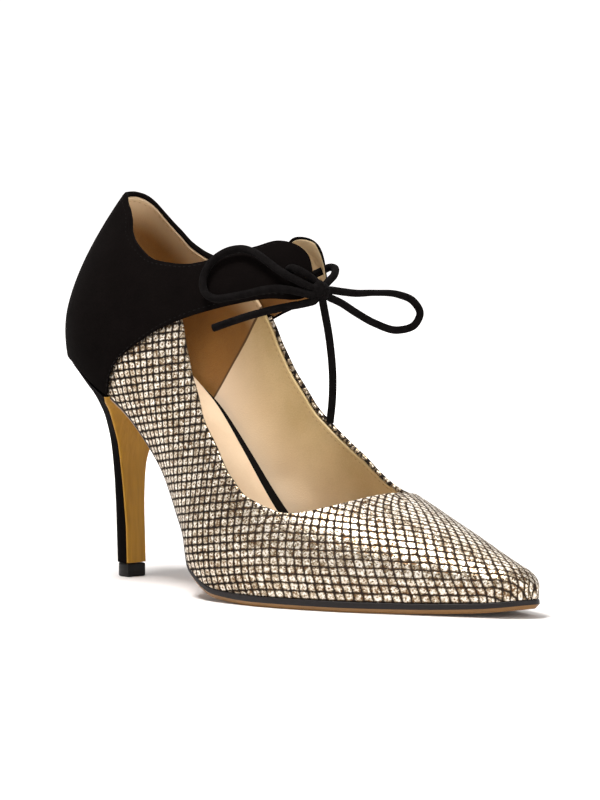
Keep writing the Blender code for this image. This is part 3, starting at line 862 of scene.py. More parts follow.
@dataclass(frozen=True)
class GlitterNet:
    """Crinkled champagne foil under a fuzzy black square net.

    Sizes of noise are in millimetres, and places within a cell are shares of it.
    """

    bright: Colour = (0.94, 0.88, 0.80)
    foil: Colour = (0.66, 0.565, 0.445)
    olive: Colour = (0.33, 0.262, 0.17)
    brown: Colour = (0.15, 0.075, 0.03)
    foil_stops: tuple[float, ...] = (0.24, 0.36, 0.47, 0.58)
    thread: Colour = (0.009, 0.0058, 0.0047)
    lit_vamp_thread: Colour = (0.024, 0.0156, 0.0116)
    # Painted highlight: the threads on the vamp are lighter, as if the light washed over them.
    wander: float = 0.32
    wander_sizes: Span = (2.4, 2.1)
    waist_open: float = 0.38
    vamp_open: float = 0.40
    waist_end: Span = (-0.01, 0.035)
    corner: float = 4.6
    ragged: float = 0.19
    ragged_size: float = 0.75
    soft: float = 0.075
    halo: float = 0.22
    pit: float = 0.2
    pit_floor: float = 0.02
    pit_least: float = 0.3
    waist_pit: float = 0.42
    vamp_pit: float = 0.19
    lobe_size: float = 1.05
    speck_size: float = 0.55
    lobe_tone: float = 0.62
    speck_tone: float = 0.26
    cell_tone: float = 0.12
    halo_tone: float = 0.16
    edge_wear: float = 0.4
    foil_gloss: float = 0.22
    speck_gloss: float = 0.2
    thread_gloss: float = 0.95
    metal: float = 0.85
    shine: float = 0.12
    tilt_relief: float = 0.22
    foil_relief: float = 0.1
    pillow_relief: float = 0.2
    lobe_relief: float = 0.15
    speck_relief: float = 0.03
    pit_relief: float = 0.06

    def material(self) -> Material:
        """Build the shader: a ragged square in each cell, tilted and crumpled at random.

        Returns:
            The finish. The threads lie where the rounded square distance from a cell's middle
            passes a noisy edge, and the foil's tone adds up lobes, specks and a chance a cell.
        """
        shader = Shader("glitter_net_finish")
        u, v = (
            place + shader.noise(size).centred() * self.wander
            for place, size in zip(shader.map(), self.wander_sizes)
        )
        across, up = u.fraction().centred(), v.fraction().centred()
        reach = (abs(across) ** self.corner + abs(up) ** self.corner) ** (1 / self.corner)
        vamp = shader.parts(shader.place())[0].step(*self.waist_end)
        opening = shader.blend(vamp, self.waist_open, self.vamp_open)
        edge = shader.noise(self.ragged_size, BROAD).centred() * self.ragged + opening
        net = reach.step(edge - self.soft, edge + self.soft)
        cell = shader.node("ShaderNodeCombineXYZ", None, {0: u.floor(), 1: v.floor()}).outputs[0]
        dice = shader.node("ShaderNodeTexWhiteNoise", {"noise_dimensions": "2D"}, {"Vector": cell})
        first, second, third = shader.parts(dice.outputs["Color"], "Color")
        aside, above = across + first.centred() * self.pit, up + second.centred() * self.pit
        pit = 1 - ((aside * aside + above * above) ** 0.5).step(self.pit_floor, self.pit)
        pit = pit * (third * (1 - self.pit_least) + self.pit_least)
        lobes = shader.noise(self.lobe_size)
        grains = {"Vector": shader.place(), "Scale": 1 / (self.speck_size * MM)}
        specks = shader.node("ShaderNodeTexVoronoi", None, grains)
        speck = shader.parts(specks.outputs["Color"], "Color")[0]
        halo = reach.step(edge - self.halo, edge)
        tone = lobes * self.lobe_tone + speck * self.speck_tone + third * self.cell_tone
        tone = tone - halo * self.halo_tone - pit * shader.blend(vamp, self.waist_pit, self.vamp_pit)
        tones = (self.brown, self.olive, self.foil, self.bright)
        foil = shader.ramp(tone, list(zip(self.foil_stops, tones)))
        worn = shader.mix(shader.mark() * self.edge_wear, foil, self.olive)
        tilt = (first.centred() * across + second.centred() * up) * self.tilt_relief
        pillow = (1 - net) * self.foil_relief - reach**2.0 * self.pillow_relief
        crumple = lobes.centred() * self.lobe_relief + speck.centred() * self.speck_relief
        shader.set(
            # The threads on the vamp take a lighter colour, a painted highlight.
            Base_Color=shader.mix(net, worn, shader.mix(vamp, self.thread, self.lit_vamp_thread)),
            Roughness=shader.blend(net, self.foil_gloss + speck * self.speck_gloss, self.thread_gloss),
            Metallic=(1 - net) * self.metal,
            Specular_IOR_Level=self.shine,
            Normal=shader.bump(tilt + pillow + crumple - pit * self.pit_relief),
        )
        return shader.owner


@dataclass(frozen=True)
class Suede:
    """Brushed black suede."""

    name: str = "black_suede_finish"
    dark: Colour = (0.0019, 0.0013, 0.0012)
    light: Colour = (0.0040, 0.0028, 0.0026)
    nap: float = 0.35
    brush: float = 9.0
    relief: float = 0.07
    sheen: float = 0.004
    sheen_gloss: float = 0.45
    nap_tone: float = 0.6
    tones: Span = (0.34, 0.68)
    gloss: float = 0.86
    nap_gloss: float = 0.12
    shine: float = 0.02

    def material(self) -> Material:
        """Build the shader.

        Returns:
            The finish: a fine nap with broad brushed patches.
        """
        shader = Shader(self.name)
        nap = shader.noise(self.nap, FINE)
        brushed = shader.noise(self.brush, BROAD)
        tone = nap * self.nap_tone + brushed * (1 - self.nap_tone)
        shader.set(
            Base_Color=shader.ramp(tone, list(zip(self.tones, (self.dark, self.light)))),
            Roughness=nap * self.nap_gloss + self.gloss,
            Specular_IOR_Level=self.shine,
            Sheen_Weight=self.sheen,
            Sheen_Roughness=self.sheen_gloss,
            Normal=shader.bump((nap + brushed) * self.relief),
        )
        return shader.owner


@dataclass(frozen=True)
class Leather:
    """Smooth leather with a fine grain; its mark turns it to a second colour.

    rim and deep are depths from a piece's edge over which a marked or a plain part changes
    its colour. Over rim the marked part is painted lighter towards the edge, a painted light.
    line is the half width of the dark line where the two parts meet.
    """

    name: str
    colour: Colour
    shade: Colour
    marked: Colour
    marked_shade: Colour
    line: float = 0.001
    line_core: float = 0.6
    line_colour: Colour = (0.085, 0.042, 0.015)
    grain: float = 0.55
    cloud: float = 14.0
    cloud_tone: float = 0.7
    tones: Span = (0.3, 0.72)
    mark_edge: Span = (0.48, 0.52)
    relief: float = 0.03
    gloss: float = 0.42
    grain_gloss: float = 0.14
    marked_gloss: float = 0.42
    marked_grain_gloss: float = 0.1
    shine: float = 0.5
    rim: float = 0.0
    # Painted light: the lighter colour of the marked part near the edge.
    painted_rim_light: Colour = (0.61, 0.44, 0.265)
    deep: float = 0.0
    deep_colour: Colour = (0.76, 0.605, 0.45)
    stretch: Point = (1.0, 1.0, 1.0)

    def material(self) -> Material:
        """Build the shader.

        Returns:
            The finish: clouded colour, fine pores, and the marked part behind its line.
        """
        shader = Shader(self.name)
        where = shader.scaled_place(tuple(k / MM for k in self.stretch))
        grain = shader.noise(self.grain, FINE, where)
        cloud = shader.noise(self.cloud, BROAD, where)
        pores = {"Vector": where, "Scale": 1 / self.grain}
        pore = shader.value("Distance", "ShaderNodeTexVoronoi", None, pores)
        tone = (cloud * self.cloud_tone + grain * (1 - self.cloud_tone)).step(*self.tones)
        edge = shader.mark()
        mark = edge.step(*self.mark_edge)
        plain = shader.mix(tone, self.shade, self.colour)
        second = shader.mix(tone, self.marked_shade, self.marked)
        if self.deep:
            plain = shader.mix(shader.map()[0].step(0.0, self.deep), plain, self.deep_colour)
        # Painted light: near the edge, over rim, the marked part turns lighter.
        if self.rim:
            second = shader.mix(shader.map()[0].step(0.0, self.rim), self.painted_rim_light, second)
        line = 1 - abs(edge.centred()).step(self.line * self.line_core, self.line)
        rough = self.gloss + grain.centred() * self.grain_gloss
        marked_rough = self.marked_gloss + grain.centred() * self.marked_grain_gloss
        shader.set(
            Base_Color=shader.mix(line, shader.mix(mark, plain, second), self.line_colour),
            Roughness=shader.blend(mark, rough, marked_rough),
            Specular_IOR_Level=self.shine,
            Normal=shader.bump((pore + grain) * self.relief),
        )
        return shader.owner


@dataclass(frozen=True)
class Hard:
    """Hard moulded or painted surface with a faint speckle."""

    name: str
    colour: Colour
    worn: Colour
    gloss: float = 0.38
    speckle: float = 0.5
    relief: float = 0.02
    shine: float = 0.5
    speckle_tone: float = 0.6
    speckle_gloss: float = 0.2
    cloud_sizes: float = 12.0
    tones: Span = (0.4, 0.75)

    def material(self) -> Material:
        """Build the shader.

        Returns:
            The finish: speckled colour, gloss and a slight relief.
        """
        shader = Shader(self.name)
        speckle = shader.noise(self.speckle, FINE)
        cloud = shader.noise(self.speckle * self.cloud_sizes)
        tone = speckle * self.speckle_tone + cloud * (1 - self.speckle_tone)
        shader.set(
            Base_Color=shader.mix(tone.step(*self.tones), self.colour, self.worn),
            Roughness=self.gloss + speckle.centred() * self.speckle_gloss,
            Specular_IOR_Level=self.shine,
            Normal=shader.bump(speckle * self.relief),
        )
        return shader.owner


def made(finish: GlitterNet | Suede | Leather | Hard) -> Material:
    """Field of a finish, whose material is made with its holder."""
    return field(default_factory=finish.material)


@dataclass
class Finishes:
    """Materials of all the pieces, each made once."""

    net: Material = made(GlitterNet())
    suede: Material = made(Suede())
    cord: Material = made(Suede(
        "suede_cord_finish", dark=(0.0022, 0.0018, 0.0018), light=(0.0076, 0.0066, 0.0066),
        nap=0.28, brush=2.2, relief=0.1, sheen=0.009,
    ))
    thread: Material = made(Hard(
        "black_thread_finish", (0.0035, 0.003, 0.003), (0.007, 0.0062, 0.0062),
        gloss=0.75, speckle=0.2, shine=0.1,
    ))
    pale_thread: Material = made(Hard(
        "pale_thread_finish", (0.36, 0.235, 0.12), (0.46, 0.32, 0.18), gloss=0.6, speckle=0.2,
    ))
    lining: Material = made(Leather(
        "lining_finish", (0.66, 0.505, 0.27), (0.50, 0.365, 0.165),
        # The marked colours are the heel lining's own darker brown, deepened by painted shade of the heel
        # cup. On the strap linings they are painted shade.
        marked=(0.275, 0.13, 0.033), marked_shade=(0.19, 0.083, 0.019),
        # rim paints light on the band along the heel lining's top edge.
        line=0.06, rim=15.0, deep=52.0, cloud=24.0,
    ))
    sock: Material = made(Leather(
        "sock_finish", (0.72, 0.57, 0.405), (0.65, 0.495, 0.34),
        marked=(0.62, 0.44, 0.28), marked_shade=(0.55, 0.38, 0.24), gloss=0.38,
    ))
    sole: Material = made(Leather(
        "sole_finish", (0.25, 0.135, 0.052), (0.20, 0.105, 0.04),
        marked=(0.015, 0.0125, 0.013), marked_shade=(0.011, 0.009, 0.0095),
        gloss=0.45, marked_gloss=0.5, shine=0.22,
    ))
    breast: Material = made(Leather(
        "heel_breast_finish", (0.46, 0.235, 0.022), (0.37, 0.182, 0.015),
        marked=(0.10, 0.055, 0.02), marked_shade=(0.08, 0.04, 0.015),
        grain=0.6, cloud=1.6, gloss=0.5, shine=0.25, stretch=(1.0, 1.0, 0.08),
    ))
    board: Material = made(Hard(
        "insole_board_finish", (0.0018, 0.0014, 0.0013), (0.0036, 0.0028, 0.0026),
        gloss=0.8, speckle=0.6, relief=0.03, shine=0.06,
    ))
    lift: Material = made(Hard(
        "top_lift_finish", (0.0022, 0.0018, 0.0018), (0.005, 0.0042, 0.0042),
        gloss=0.5, speckle=0.8, shine=0.2,
    ))


@dataclass
class SubAssembly:
    """A group of pieces on the last, with the means to dress them."""

    last: Last
    finishes: Finishes

    def dress(self, skin: Skin, name: str, material: Material, slot: Slot,
              nodes: tuple[str, ...] = ()) -> Piece:
        """Build a piece and hang it on the part.

        Args:
            skin: Its points and faces.
            name: Its name.
            material: Its finish.
            slot: Slot of the record that the finish belongs to; not used.
            nodes: Solids that it stands for.

        Returns:
            The piece.
        """
        piece = skin.build(name, material)
        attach(piece, "root")
        if nodes:
            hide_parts(*nodes)
        return piece


@dataclass(frozen=True)
class Crease:
    """Soft trough in a surface, placed along the last and round its section."""

    x: float
    angle: float
    long_x: float
    wide_angle: float
    slant: float
    depth: float

    def at(self, x: Array, angle: Array) -> Array:
        """Depth at places along the last and angles in degrees: a bell along and across."""
        across = (angle - self.angle - self.slant * (x - self.x)) / self.wide_angle
        return self.depth * np.exp(-(((x - self.x) / self.long_x) ** 2) - across**2)


@dataclass
class Upper(SubAssembly):
    """Vamp and sides of net fabric over a leather lining."""

    fabric: float = 0.85
    wall: float = 1.7
    parting: float = 0.05
    fabric_edge: float = 0.8
    lining_edge: float = 0.4
    rim: float = 1.1
    rim_soft: float = 0.25
    wear_past: float = 0.2
    rows: int = 54
    row_crowding: float = 1.8
    margin_outs: tuple[float, ...] = (-3.4, -2.2, -1.0, -0.3)
    margin_low: float = 0.2
    margin_high: float = 0.02
    underlap: float = 3.5
    rear_end: float = 80.0
    rear_clear: float = 1.0
    rear_columns: int = 44
    rear_top: float = 32.0
    seam: float = 42.3
    seam_slant: float = 0.13
    seam_bend: float = 9.0
    seam_step: float = 0.32
    seam_lap: Span = (-0.5, 0.3)
    seam_blend: float = 8.0
    collar_out: float = 0.35
    collar_depth: Span = (6.0, 2.5)
    collar_front: Span = (47.0, 38.0)
    crease_depth: Span = (1.0, 8.0)
    vamp_creases: tuple[Crease, ...] = (
        Crease(166.0, 60.0, 16.0, 14.0, -0.3, 0.35),
        Crease(176.0, 34.0, 20.0, 10.0, -0.2, 0.28),
        Crease(150.0, 22.0, 18.0, 9.0, 0.1, 0.25),
        Crease(120.0, 8.0, 16.0, 9.0, 0.2, 0.22),
    )
    lining_creases: tuple[Crease, ...] = (
        Crease(74.0, -28.0, 3.0, 16.0, 2.0, 0.5),
        Crease(84.0, -20.0, 3.4, 18.0, 2.0, -0.45),
        Crease(95.0, -24.0, 4.0, 16.0, 1.5, 0.4),
        Crease(60.0, -12.0, 4.0, 20.0, 1.0, 0.35),
        Crease(114.0, 6.0, 7.0, 18.0, -1.0, -0.4),
    )

    def _row_places(self) -> Array:
        """Places up a column, crowded at the top edge."""
        return 1 - (1 - np.linspace(0, 1, self.rows)) ** self.row_crowding

    def _heights(self, points: Array) -> Array:
        """Distance down to each point from the top edge, along its column."""
        below = run_along(points, axis=1)
        return below[:, -1:] - below

    def seam_line(self, degrees: Array) -> Array:
        """Place of the lining's seam at angles in degrees: upright below, then leaning forward."""
        forward = self.seam_bend * np.logaddexp(0, degrees / self.seam_bend)
        return self.seam + self.seam_slant * forward

    def _net_columns(self, side: Side) -> tuple[Array, Array]:
        """Places and angles of the net's points, from under the suede to the toe.

        Args:
            side: Side of the shoe.

        Returns:
            Places along the last and angles, as (columns, rows). Behind rear_end the columns
            fan out from the slanted edge under the suede.
        """
        rows = self._row_places()
        low, high = self.last.columns()
        straight = high > self.rear_end + self.rear_clear
        place = low[straight, None] + (high - low)[straight, None] * rows
        line = np.array(SUEDE_EDGE)
        edge_angle = np.degrees(FEATHER) + (self.rear_top - np.degrees(FEATHER)) * rows
        edge = np.interp(edge_angle, line[:, 1], line[:, 0]) - self.underlap
        share = np.linspace(0, 1, self.rear_columns)[:, None]
        place = np.concatenate([edge + (self.rear_end - edge) * share, place])
        top = self.last.top_angle(place[:, -1], side)
        return place, FEATHER + (top - FEATHER)[:, None] * rows

    def _close_throat(self, skin: Skin, walls: list[tuple[Array, Array]], closed: Array) -> None:
        """Close the small gap in the edge where the throat runs out at the crown.

        Args:
            skin: Piece that takes the face.
            walls: Numbers of the points of both grids, for each side.
            closed: Whether each column ends at the crown.
        """
        k = int(np.argmax(closed))
        (face, back), (other, _) = walls
        corners = (face[k - 1, -1], face[k, -1], other[k - 1, -1], back[k, -1])
        skin.quads.append(np.array([corners]))

    def net(self) -> Piece:
        """Net fabric with a rounded top edge and a lasting margin turned under the feather.

        Returns:
            The fabric: the last's surface and a copy under it by the fabric's thickness, which
            grows to the whole wall at the rim and closes in a quarter circle there.
        """
        skin = Skin()
        cut = NetCut(self.last)
        walls = []
        for side in Side:
            x, angle = self._net_columns(side)
            dent = sum(crease.at(x, np.degrees(angle)) for crease in self.vamp_creases)
            depth = self._heights(self.last.surface(x, angle, side))
            closed = np.isclose(angle[:, -1:], CROWN)
            folded = smoothstep(self.rim + self.rim_soft, self.rim - self.rim_soft, depth)
            fold = np.where(closed, 0.0, folded)
            half = (self.fabric + (self.wall - self.fabric) * fold) / 2
            share = np.where(closed, 1.0, edge_round(depth, self.fabric_edge))
            face = self.last.surface(x, angle, side, -half * (1 - share) - dent)
            back = self.last.surface(x, angle, side, -half * (1 + share) - dent)
            down = -self.last.feather_normal(x[:, 0])[:, None]
            outs = np.array(self.margin_outs)
            foot = self.last.surface(x[:, :1], FEATHER, side, outs)
            face = np.concatenate([foot + down * self.margin_low, face], axis=1)
            back = np.concatenate([foot + down * self.margin_high, back], axis=1)
            uv = cut.coordinates(x, angle, side)
            own = 0 if side is Side.OUTER else 1
            tail = np.repeat(uv[:, :1], len(outs), axis=1)
            tail[..., own] += outs / cut.cell
            wear = smoothstep(self.rim + self.wear_past, 0.0, depth)
            wear = np.where(closed, 0.0, np.concatenate([np.zeros(tail.shape[:2]), wear], axis=1))
            uv = np.concatenate([tail, uv], axis=1)
            walls.append(skin.wall(face, back, uv, wear, closed=("low", "start")))
        self._close_throat(skin, walls, closed)
        return self.dress(skin, "upper_net", self.finishes.net, Slot.NET, ("upper",))

    def lining(self) -> Piece:
        """Lining leather with a lapped seam in front of the heel and soft wrinkles.

        Returns:
            The lining: two copies of the last inside the fabric. The inner one steps in at the
            seam and carries the wrinkles, and the outer one reaches the suede at the collar.
        """
        skin = Skin()
        rows = self._row_places()
        low, high = self.last.columns(self.rim)
        x = low[:, None] + (high - low)[:, None] * rows
        walls = []
        for side in Side:
            top = self.last.top_angle(high, side, self.rim)
            angle = FEATHER + (top - FEATHER)[:, None] * rows
            degrees = np.degrees(angle)
            depth = self._heights(self.last.surface(x, angle, side, -self.wall))
            seam = x - self.seam_line(degrees)
            collar = smoothstep(*self.collar_depth, depth) * smoothstep(*self.collar_front, x)
            outer = -self.fabric - self.parting + (self.collar_out + self.fabric + self.parting) * collar
            dent = sum(crease.at(x, degrees) for crease in self.lining_creases)
            inner = -self.wall + dent * smoothstep(*self.crease_depth, depth)
            inner = inner - self.seam_step * smoothstep(*self.seam_lap, seam)
            middle = (outer + inner) / 2
            closed = np.isclose(top[:, None], CROWN)
            share = np.where(closed, 1.0, edge_round(depth, self.lining_edge))
            face = self.last.surface(x, angle, side, middle + (outer - middle) * share)
            back = self.last.surface(x, angle, side, middle + (inner - middle) * share)
            uv = np.stack([depth, x], axis=-1)
            # The mark gives the heel lining behind the seam its darker brown. This is partly its own
            # colour and partly painted shade.
            mark = np.clip(0.5 - seam / self.seam_blend, 0, 1)
            walls.append(skin.wall(face, back, uv, mark, closed=("low",)))
        self._close_throat(skin, walls, closed)
        return self.dress(skin, "upper_lining", self.finishes.lining, Slot.SOCK, ("upper",))


@dataclass
class Quarter(SubAssembly):
    """Suede quarter of one side, cut in one with its instep strap and rounded tab.

    Lines across the band run from its lower to its upper edge, each end given as a place
    along the last and an angle round the section.
    """

    side: Side = Side.OUTER
    columns: int = 45
    turn_rows: int = 34
    band_rows: int = 70
    gap: float = 0.3
    gap_run: Span = (0.0, 0.5)
    under: float = 0.4
    outer: float = 1.6
    split: float = 0.85
    split_run: Span = (6.0, 8.0)
    edge: float = 0.65
    skive: float = 0.45
    skive_run: float = 2.5
    seam_depth: float = 0.5
    seam_run: float = 0.35
    heel_rows: float = 5.0
    tab_start: float = 11.5
    tab_round: float = 12.4
    tab_corner_low: float = 4.0
    tab_corner_high: float = 2.5
    tab_lift_outer: float = 9.0
    tab_lift_inner: float = 13.0
    tab_lift_middle: float = 0.4
    tab_lift_slant: float = 1.0
    hole_u: float = 13.0
    hole_v: float = 0.4
    hole: float = 3.0
    hole_probe: float = 0.05
    punch_reach: float = 4.0
    punch_rings: int = 5
    punch_bend: float = 0.001
    seat_end: Span = (6.1, 5.7)
    fold_depth: float = 1.5
    fold_soft: float = 0.5
    fold_under: float = -1.5
    fold_end: Span = (8.2, 6.8)
    lining_start: Span = (9.8, 7.4)
    lining_inset: float = 1.1
    lining_edge: float = 0.35
    lining_tip: float = 0.3
    lining_depth: float = 20.0
    # Places along the band where the strap lining's painted shade gives way to its pale colour.
    lining_pale: Span = (12.4, 11.4)
    low_edge: tuple[Span, ...] = (
        (0.0, -55.0), (5.0, -55.0), (10.0, -55.0), (15.0, -55.0), (20.0, -55.0), (28.0, -55.0),
        *SUEDE_EDGE, (62.0, 54.0), (67.5, 69.0), (71.0, 84.0),
    )
    high_x: tuple[float, ...] = (
        0.0, 5.0, 10.0, 15.0, 20.0, 25.0, 30.0, 34.0, 38.0, 42.0, 45.5, 49.0, 51.5, 53.5, 57.0,
    )
    high_outer: tuple[float, ...] = (
        57.0, 59.0, 59.0, 56.5, 51.0, 47.5, 45.5, 44.5, 45.0, 47.0, 52.0, 62.0, 73.0, 82.0, 87.0,
    )
    high_inner: tuple[float, ...] = (
        57.0, 56.0, 53.0, 48.0, 42.0, 40.0, 40.0, 41.0, 43.0, 47.0, 52.0, 62.0, 73.0, 82.0, 87.0,
    )

    @property
    def solid(self) -> str:
        """Name of the solid that the quarter's pieces stand for."""
        return "quarter_" + self.side.name.lower()

    @property
    def last_row(self) -> int:
        """Number of the line at the end of the tab."""
        return len(self.high_x) - 1

    def _lines(self, u: Array) -> tuple[Array, Array, Array]:
        """Ends of the lines across the band.

        Args:
            u: Places along the band, counted in lines.

        Returns:
            Lower ends and upper ends, each as (..., 2), and how far the round tab spreads.
        """
        knots = np.arange(self.last_row + 1, dtype=float)
        high_angle = self.high_outer if self.side is Side.OUTER else self.high_inner
        columns = np.array([*zip(*self.low_edge), self.high_x, high_angle])
        read = np.stack([smooth_through(knots, column, u) for column in columns], axis=-1)
        low, high = read[..., :2], read[..., 2:]
        t = np.clip((u - self.tab_round) / (self.last_row - self.tab_round), 0, 1)
        lower = (1 - t**self.tab_corner_low) ** (1 / self.tab_corner_low)
        upper = (1 - t**self.tab_corner_high) ** (1 / self.tab_corner_high)
        middle = (low + high) / 2
        low = middle + (low - middle) * lower[..., None]
        return low, middle + (high - middle) * upper[..., None], upper

    def surface(self, u: Array, v: Array, out: Array | float) -> Array:
        """Points of the band, with its tab lifted off the foot.

        Args:
            u: Places along it, counted in lines.
            v: Places across it, from 0 at the lower edge to 1 at the upper.
            out: Distance off the last.

        Returns:
            Points as (..., 3).
        """
        u, v = np.broadcast_arrays(np.asarray(u, float), np.asarray(v, float))
        low, high, spread = self._lines(u)
        line = low + (high - low) * v[..., None]
        rise = np.clip((u - self.tab_start) / (self.last_row - self.tab_start), 0, 1)
        slant = self.tab_lift_middle + self.tab_lift_slant * (v - 0.5) * spread
        lift = self.tab_lift_outer if self.side is Side.OUTER else self.tab_lift_inner
        out = out + lift * rise**2 * slant
        points = self.last.surface(line[..., 0], np.radians(line[..., 1]), self.side, out)
        aside = self.side.value * self.gap / 2 * smoothstep(*self.gap_run, u)
        return points + aside[..., None] * np.array([0.0, 1.0, 0.0])

    def tie_hole(self) -> tuple[Array, Array]:
        """Find the tab's hole.

        Returns:
            Its centre and the direction through it, square to the tab and off the foot.
        """
        middle = (self.under + self.outer) / 2
        centre, ahead, across = (
            self.surface(self.hole_u + du, self.hole_v + dv, middle)
            for du, dv in ((0, 0), (self.hole_probe, 0), (0, self.hole_probe))
        )
        return centre, unit(np.cross(ahead - centre, across - centre) * -self.side.value)

    def _rows(self) -> Array:
        """Places along the band.

        Returns:
            A column of places, closer together at the back seam and round the tab.
        """
        turn = np.linspace(0, math.pi / 2, self.turn_rows)
        return np.concatenate([
            self.heel_rows * (1 - np.cos(turn))[:-1],
            np.linspace(self.heel_rows, self.tab_round, self.band_rows)[:-1],
            self.tab_round + (self.last_row - self.tab_round) * np.sin(turn),
        ])[:, None]

    def _run(self, u: Array, v: Array) -> Array:
        """Distance of each point from the lower edge, across the band."""
        return run_along(self.surface(u, v, self.outer), axis=1)

    def _punch(self, piece: Piece) -> Piece:
        """Cut the hole for the lace through a piece of the tab.

        Args:
            piece: Piece to cut.

        Returns:
            The same piece, less a tube along the hole. The tube's slight bend gives its rings
            a plane to stand on.
        """
        centre, axis = self.tie_hole()
        skin = Skin()
        reach = np.linspace(-self.punch_reach, self.punch_reach, self.punch_rings)[:, None]
        path = centre + axis * reach + np.array([0, 0, self.punch_bend]) * reach**2
        skin.grid(tube(path, self.hole / 2), around=True)
        cutter = skin.build(piece.name + "_cutter", self.finishes.thread)
        cut = piece.modifiers.new("tie_hole", "BOOLEAN")
        cut.object = cutter
        graph = bpy.context.evaluated_depsgraph_get()
        whole = piece.data
        piece.data = bpy.data.meshes.new_from_object(piece.evaluated_get(graph))
        piece.modifiers.clear()
        bpy.data.objects.remove(cutter)
        bpy.data.meshes.remove(whole)
        return piece

    def suede(self) -> Piece:
        """Suede with rounded edges, skived thinner at its edge, and a groove at the back seam.

        Returns:
            The suede: two copies of the band at its two distances off the last, drawn together
            in a quarter circle at the edge. The skive fades from the edge, and the groove is a bell.
        """
        u, v = self._rows(), cosine_spaced(self.columns)
        run = self._run(u, v)
        distance = np.minimum(run, run[:, -1:] - run)
        seated = np.where(v < 0.5, smoothstep(*self.seat_end, u), 0.0)
        under = self.under + (self.split - self.under) * smoothstep(*self.split_run, u)
        from_top = np.where(v > 0.5, distance, self.fold_depth)
        fold = smoothstep(self.fold_depth, self.fold_depth - self.fold_soft, from_top)
        under = under + (self.fold_under - under) * fold * smoothstep(*self.fold_end, u)
        groove = self.seam_depth * np.exp(-((u / self.seam_run) ** 2))
        outer = self.outer - self.skive * np.exp(-distance / self.skive_run) * (1 - seated) - groove
        middle = (outer + under) / 2
        share = np.maximum(edge_round(distance, self.edge), seated)
        skin = Skin()
        skin.wall(
            self.surface(u, v, middle + (outer - middle) * share),
            self.surface(u, v, middle + (under - middle) * share),
            closed=("start", "low"),
        )
        piece = self.dress(skin, self.solid + "_suede", self.finishes.suede, Slot.SUEDE, (self.solid,))
        return self._punch(piece)

    def strap_lining(self) -> Piece:
        """Lining of the strap and tab.

        Returns:
            The lining: two copies of the band under the suede, a little inside its edge, painted dark as
                shade except near the tab's end.
        """
        rows = self._rows()
        rows = rows[rows[:, 0] > self.lining_start[1]]
        share = (rows - rows[0]) / (rows[-1] - rows[0])
        v = cosine_spaced(self.columns)
        start = self.lining_start[0] + (self.lining_start[1] - self.lining_start[0]) * v
        u = start + (rows[-1] - self.lining_tip - start) * share
        run = self._run(u, v)
        width = np.maximum(run[:, -1:], NARROW)
        v = 0.5 + (v - 0.5) * np.clip(1 - 2 * self.lining_inset / width, 0, 1)
        share = edge_round(np.minimum(run, width - run), self.lining_edge)
        middle, half = (self.split + self.under) / 2, (self.split - self.under) / 2
        # The mark paints the strap lining in the lining's dark marked colour, a painted shade, until near
        # the tab's end.
        skin = Skin()
        skin.wall(
            self.surface(u, v, middle + half * share),
            self.surface(u, v, middle - half * share),
            np.full((*u.shape, 2), self.lining_depth),
            smoothstep(*self.lining_pale, u),
            closed=("start", "end"),
        )
        piece = self.dress(skin, self.solid + "_lining", self.finishes.lining, Slot.SOCK, (self.solid,))
        return self._punch(piece)


@dataclass
class Footbed(SubAssembly):
    """Insole board and the leather sock on it."""

    inside: float = 2.0
    board: float = 1.8
    sock: float = 0.8
    parting: float = 0.3
    margin: float = 0.6
    strip: float = 8.5
    strip_start: float = 22.0
    strip_run: float = 80.0
    edge: float = 0.5
    crown: float = 0.5
    crown_width: float = 40.0
    columns: int = 41

    def _bed(self, name: str, material: Material, slot: Slot, bottom: float,
             thickness: float, margins: dict[Side, Array], crown: float = 0.0) -> Piece:
        """Thin bed along the feather line with rounded edges.

        Args:
            name: Name of the piece and of the solid that it stands for.
            material: Its finish.
            slot: Slot of the record.
            bottom: Height of its underside over the feather line.
            thickness: Its thickness.
            margins: Width left bare on each side.
            crown: How far its middle rises.

        Returns:
            The bed: straight lines across between the two feather lines, raised by a parabola.
        """
        x = self.last.stations()
        up = self.last.feather_normal(x)[:, None]
        edges = [self.last.surface(x, FEATHER, side, -(self.inside + margins[side])) for side in Side]
        across = cosine_spaced(self.columns)
        plan = edges[0][:, None] + (edges[1] - edges[0])[:, None] * across[:, None]
        width = np.linalg.norm(edges[1] - edges[0], axis=-1)[:, None]
        share = edge_round(np.minimum(across, 1 - across) * width, self.edge)
        rise = crown * 4 * across * (1 - across) * np.minimum(width / self.crown_width, 1)
        top = plan + up * (bottom + thickness / 2 * (1 + share) + rise)[..., None]
        low = plan + up * (bottom + thickness / 2 * (1 - share))[..., None]
        skin = Skin()
        skin.wall(top, low)
        return self.dress(skin, name, material, slot, (name.replace("_bed", ""),))

    def pieces(self) -> list[Piece]:
        """Make both beds.

        Returns:
            Board and sock. The sock bares a strip of the board along the inner side, which
            widens from the heel and closes at the toe.
        """
        x = self.last.stations()
        widening = np.clip((x - self.strip_start) / self.strip_run, 0, 1)
        closing = np.clip((self.last.length - x) / self.strip_run, 0, 1)
        even = {side: np.zeros_like(x) for side in Side}
        bared = {
            Side.OUTER: np.full_like(x, self.margin),
            Side.INNER: self.margin + self.strip * widening * closing,
        }
        over = self.board + self.parting
        return [
            self._bed("insole_bed", self.finishes.board, Slot.BOARD, 0.0, self.board, even),
            self._bed("sock_bed", self.finishes.sock, Slot.SOCK, over, self.sock, bared, self.crown),
        ]


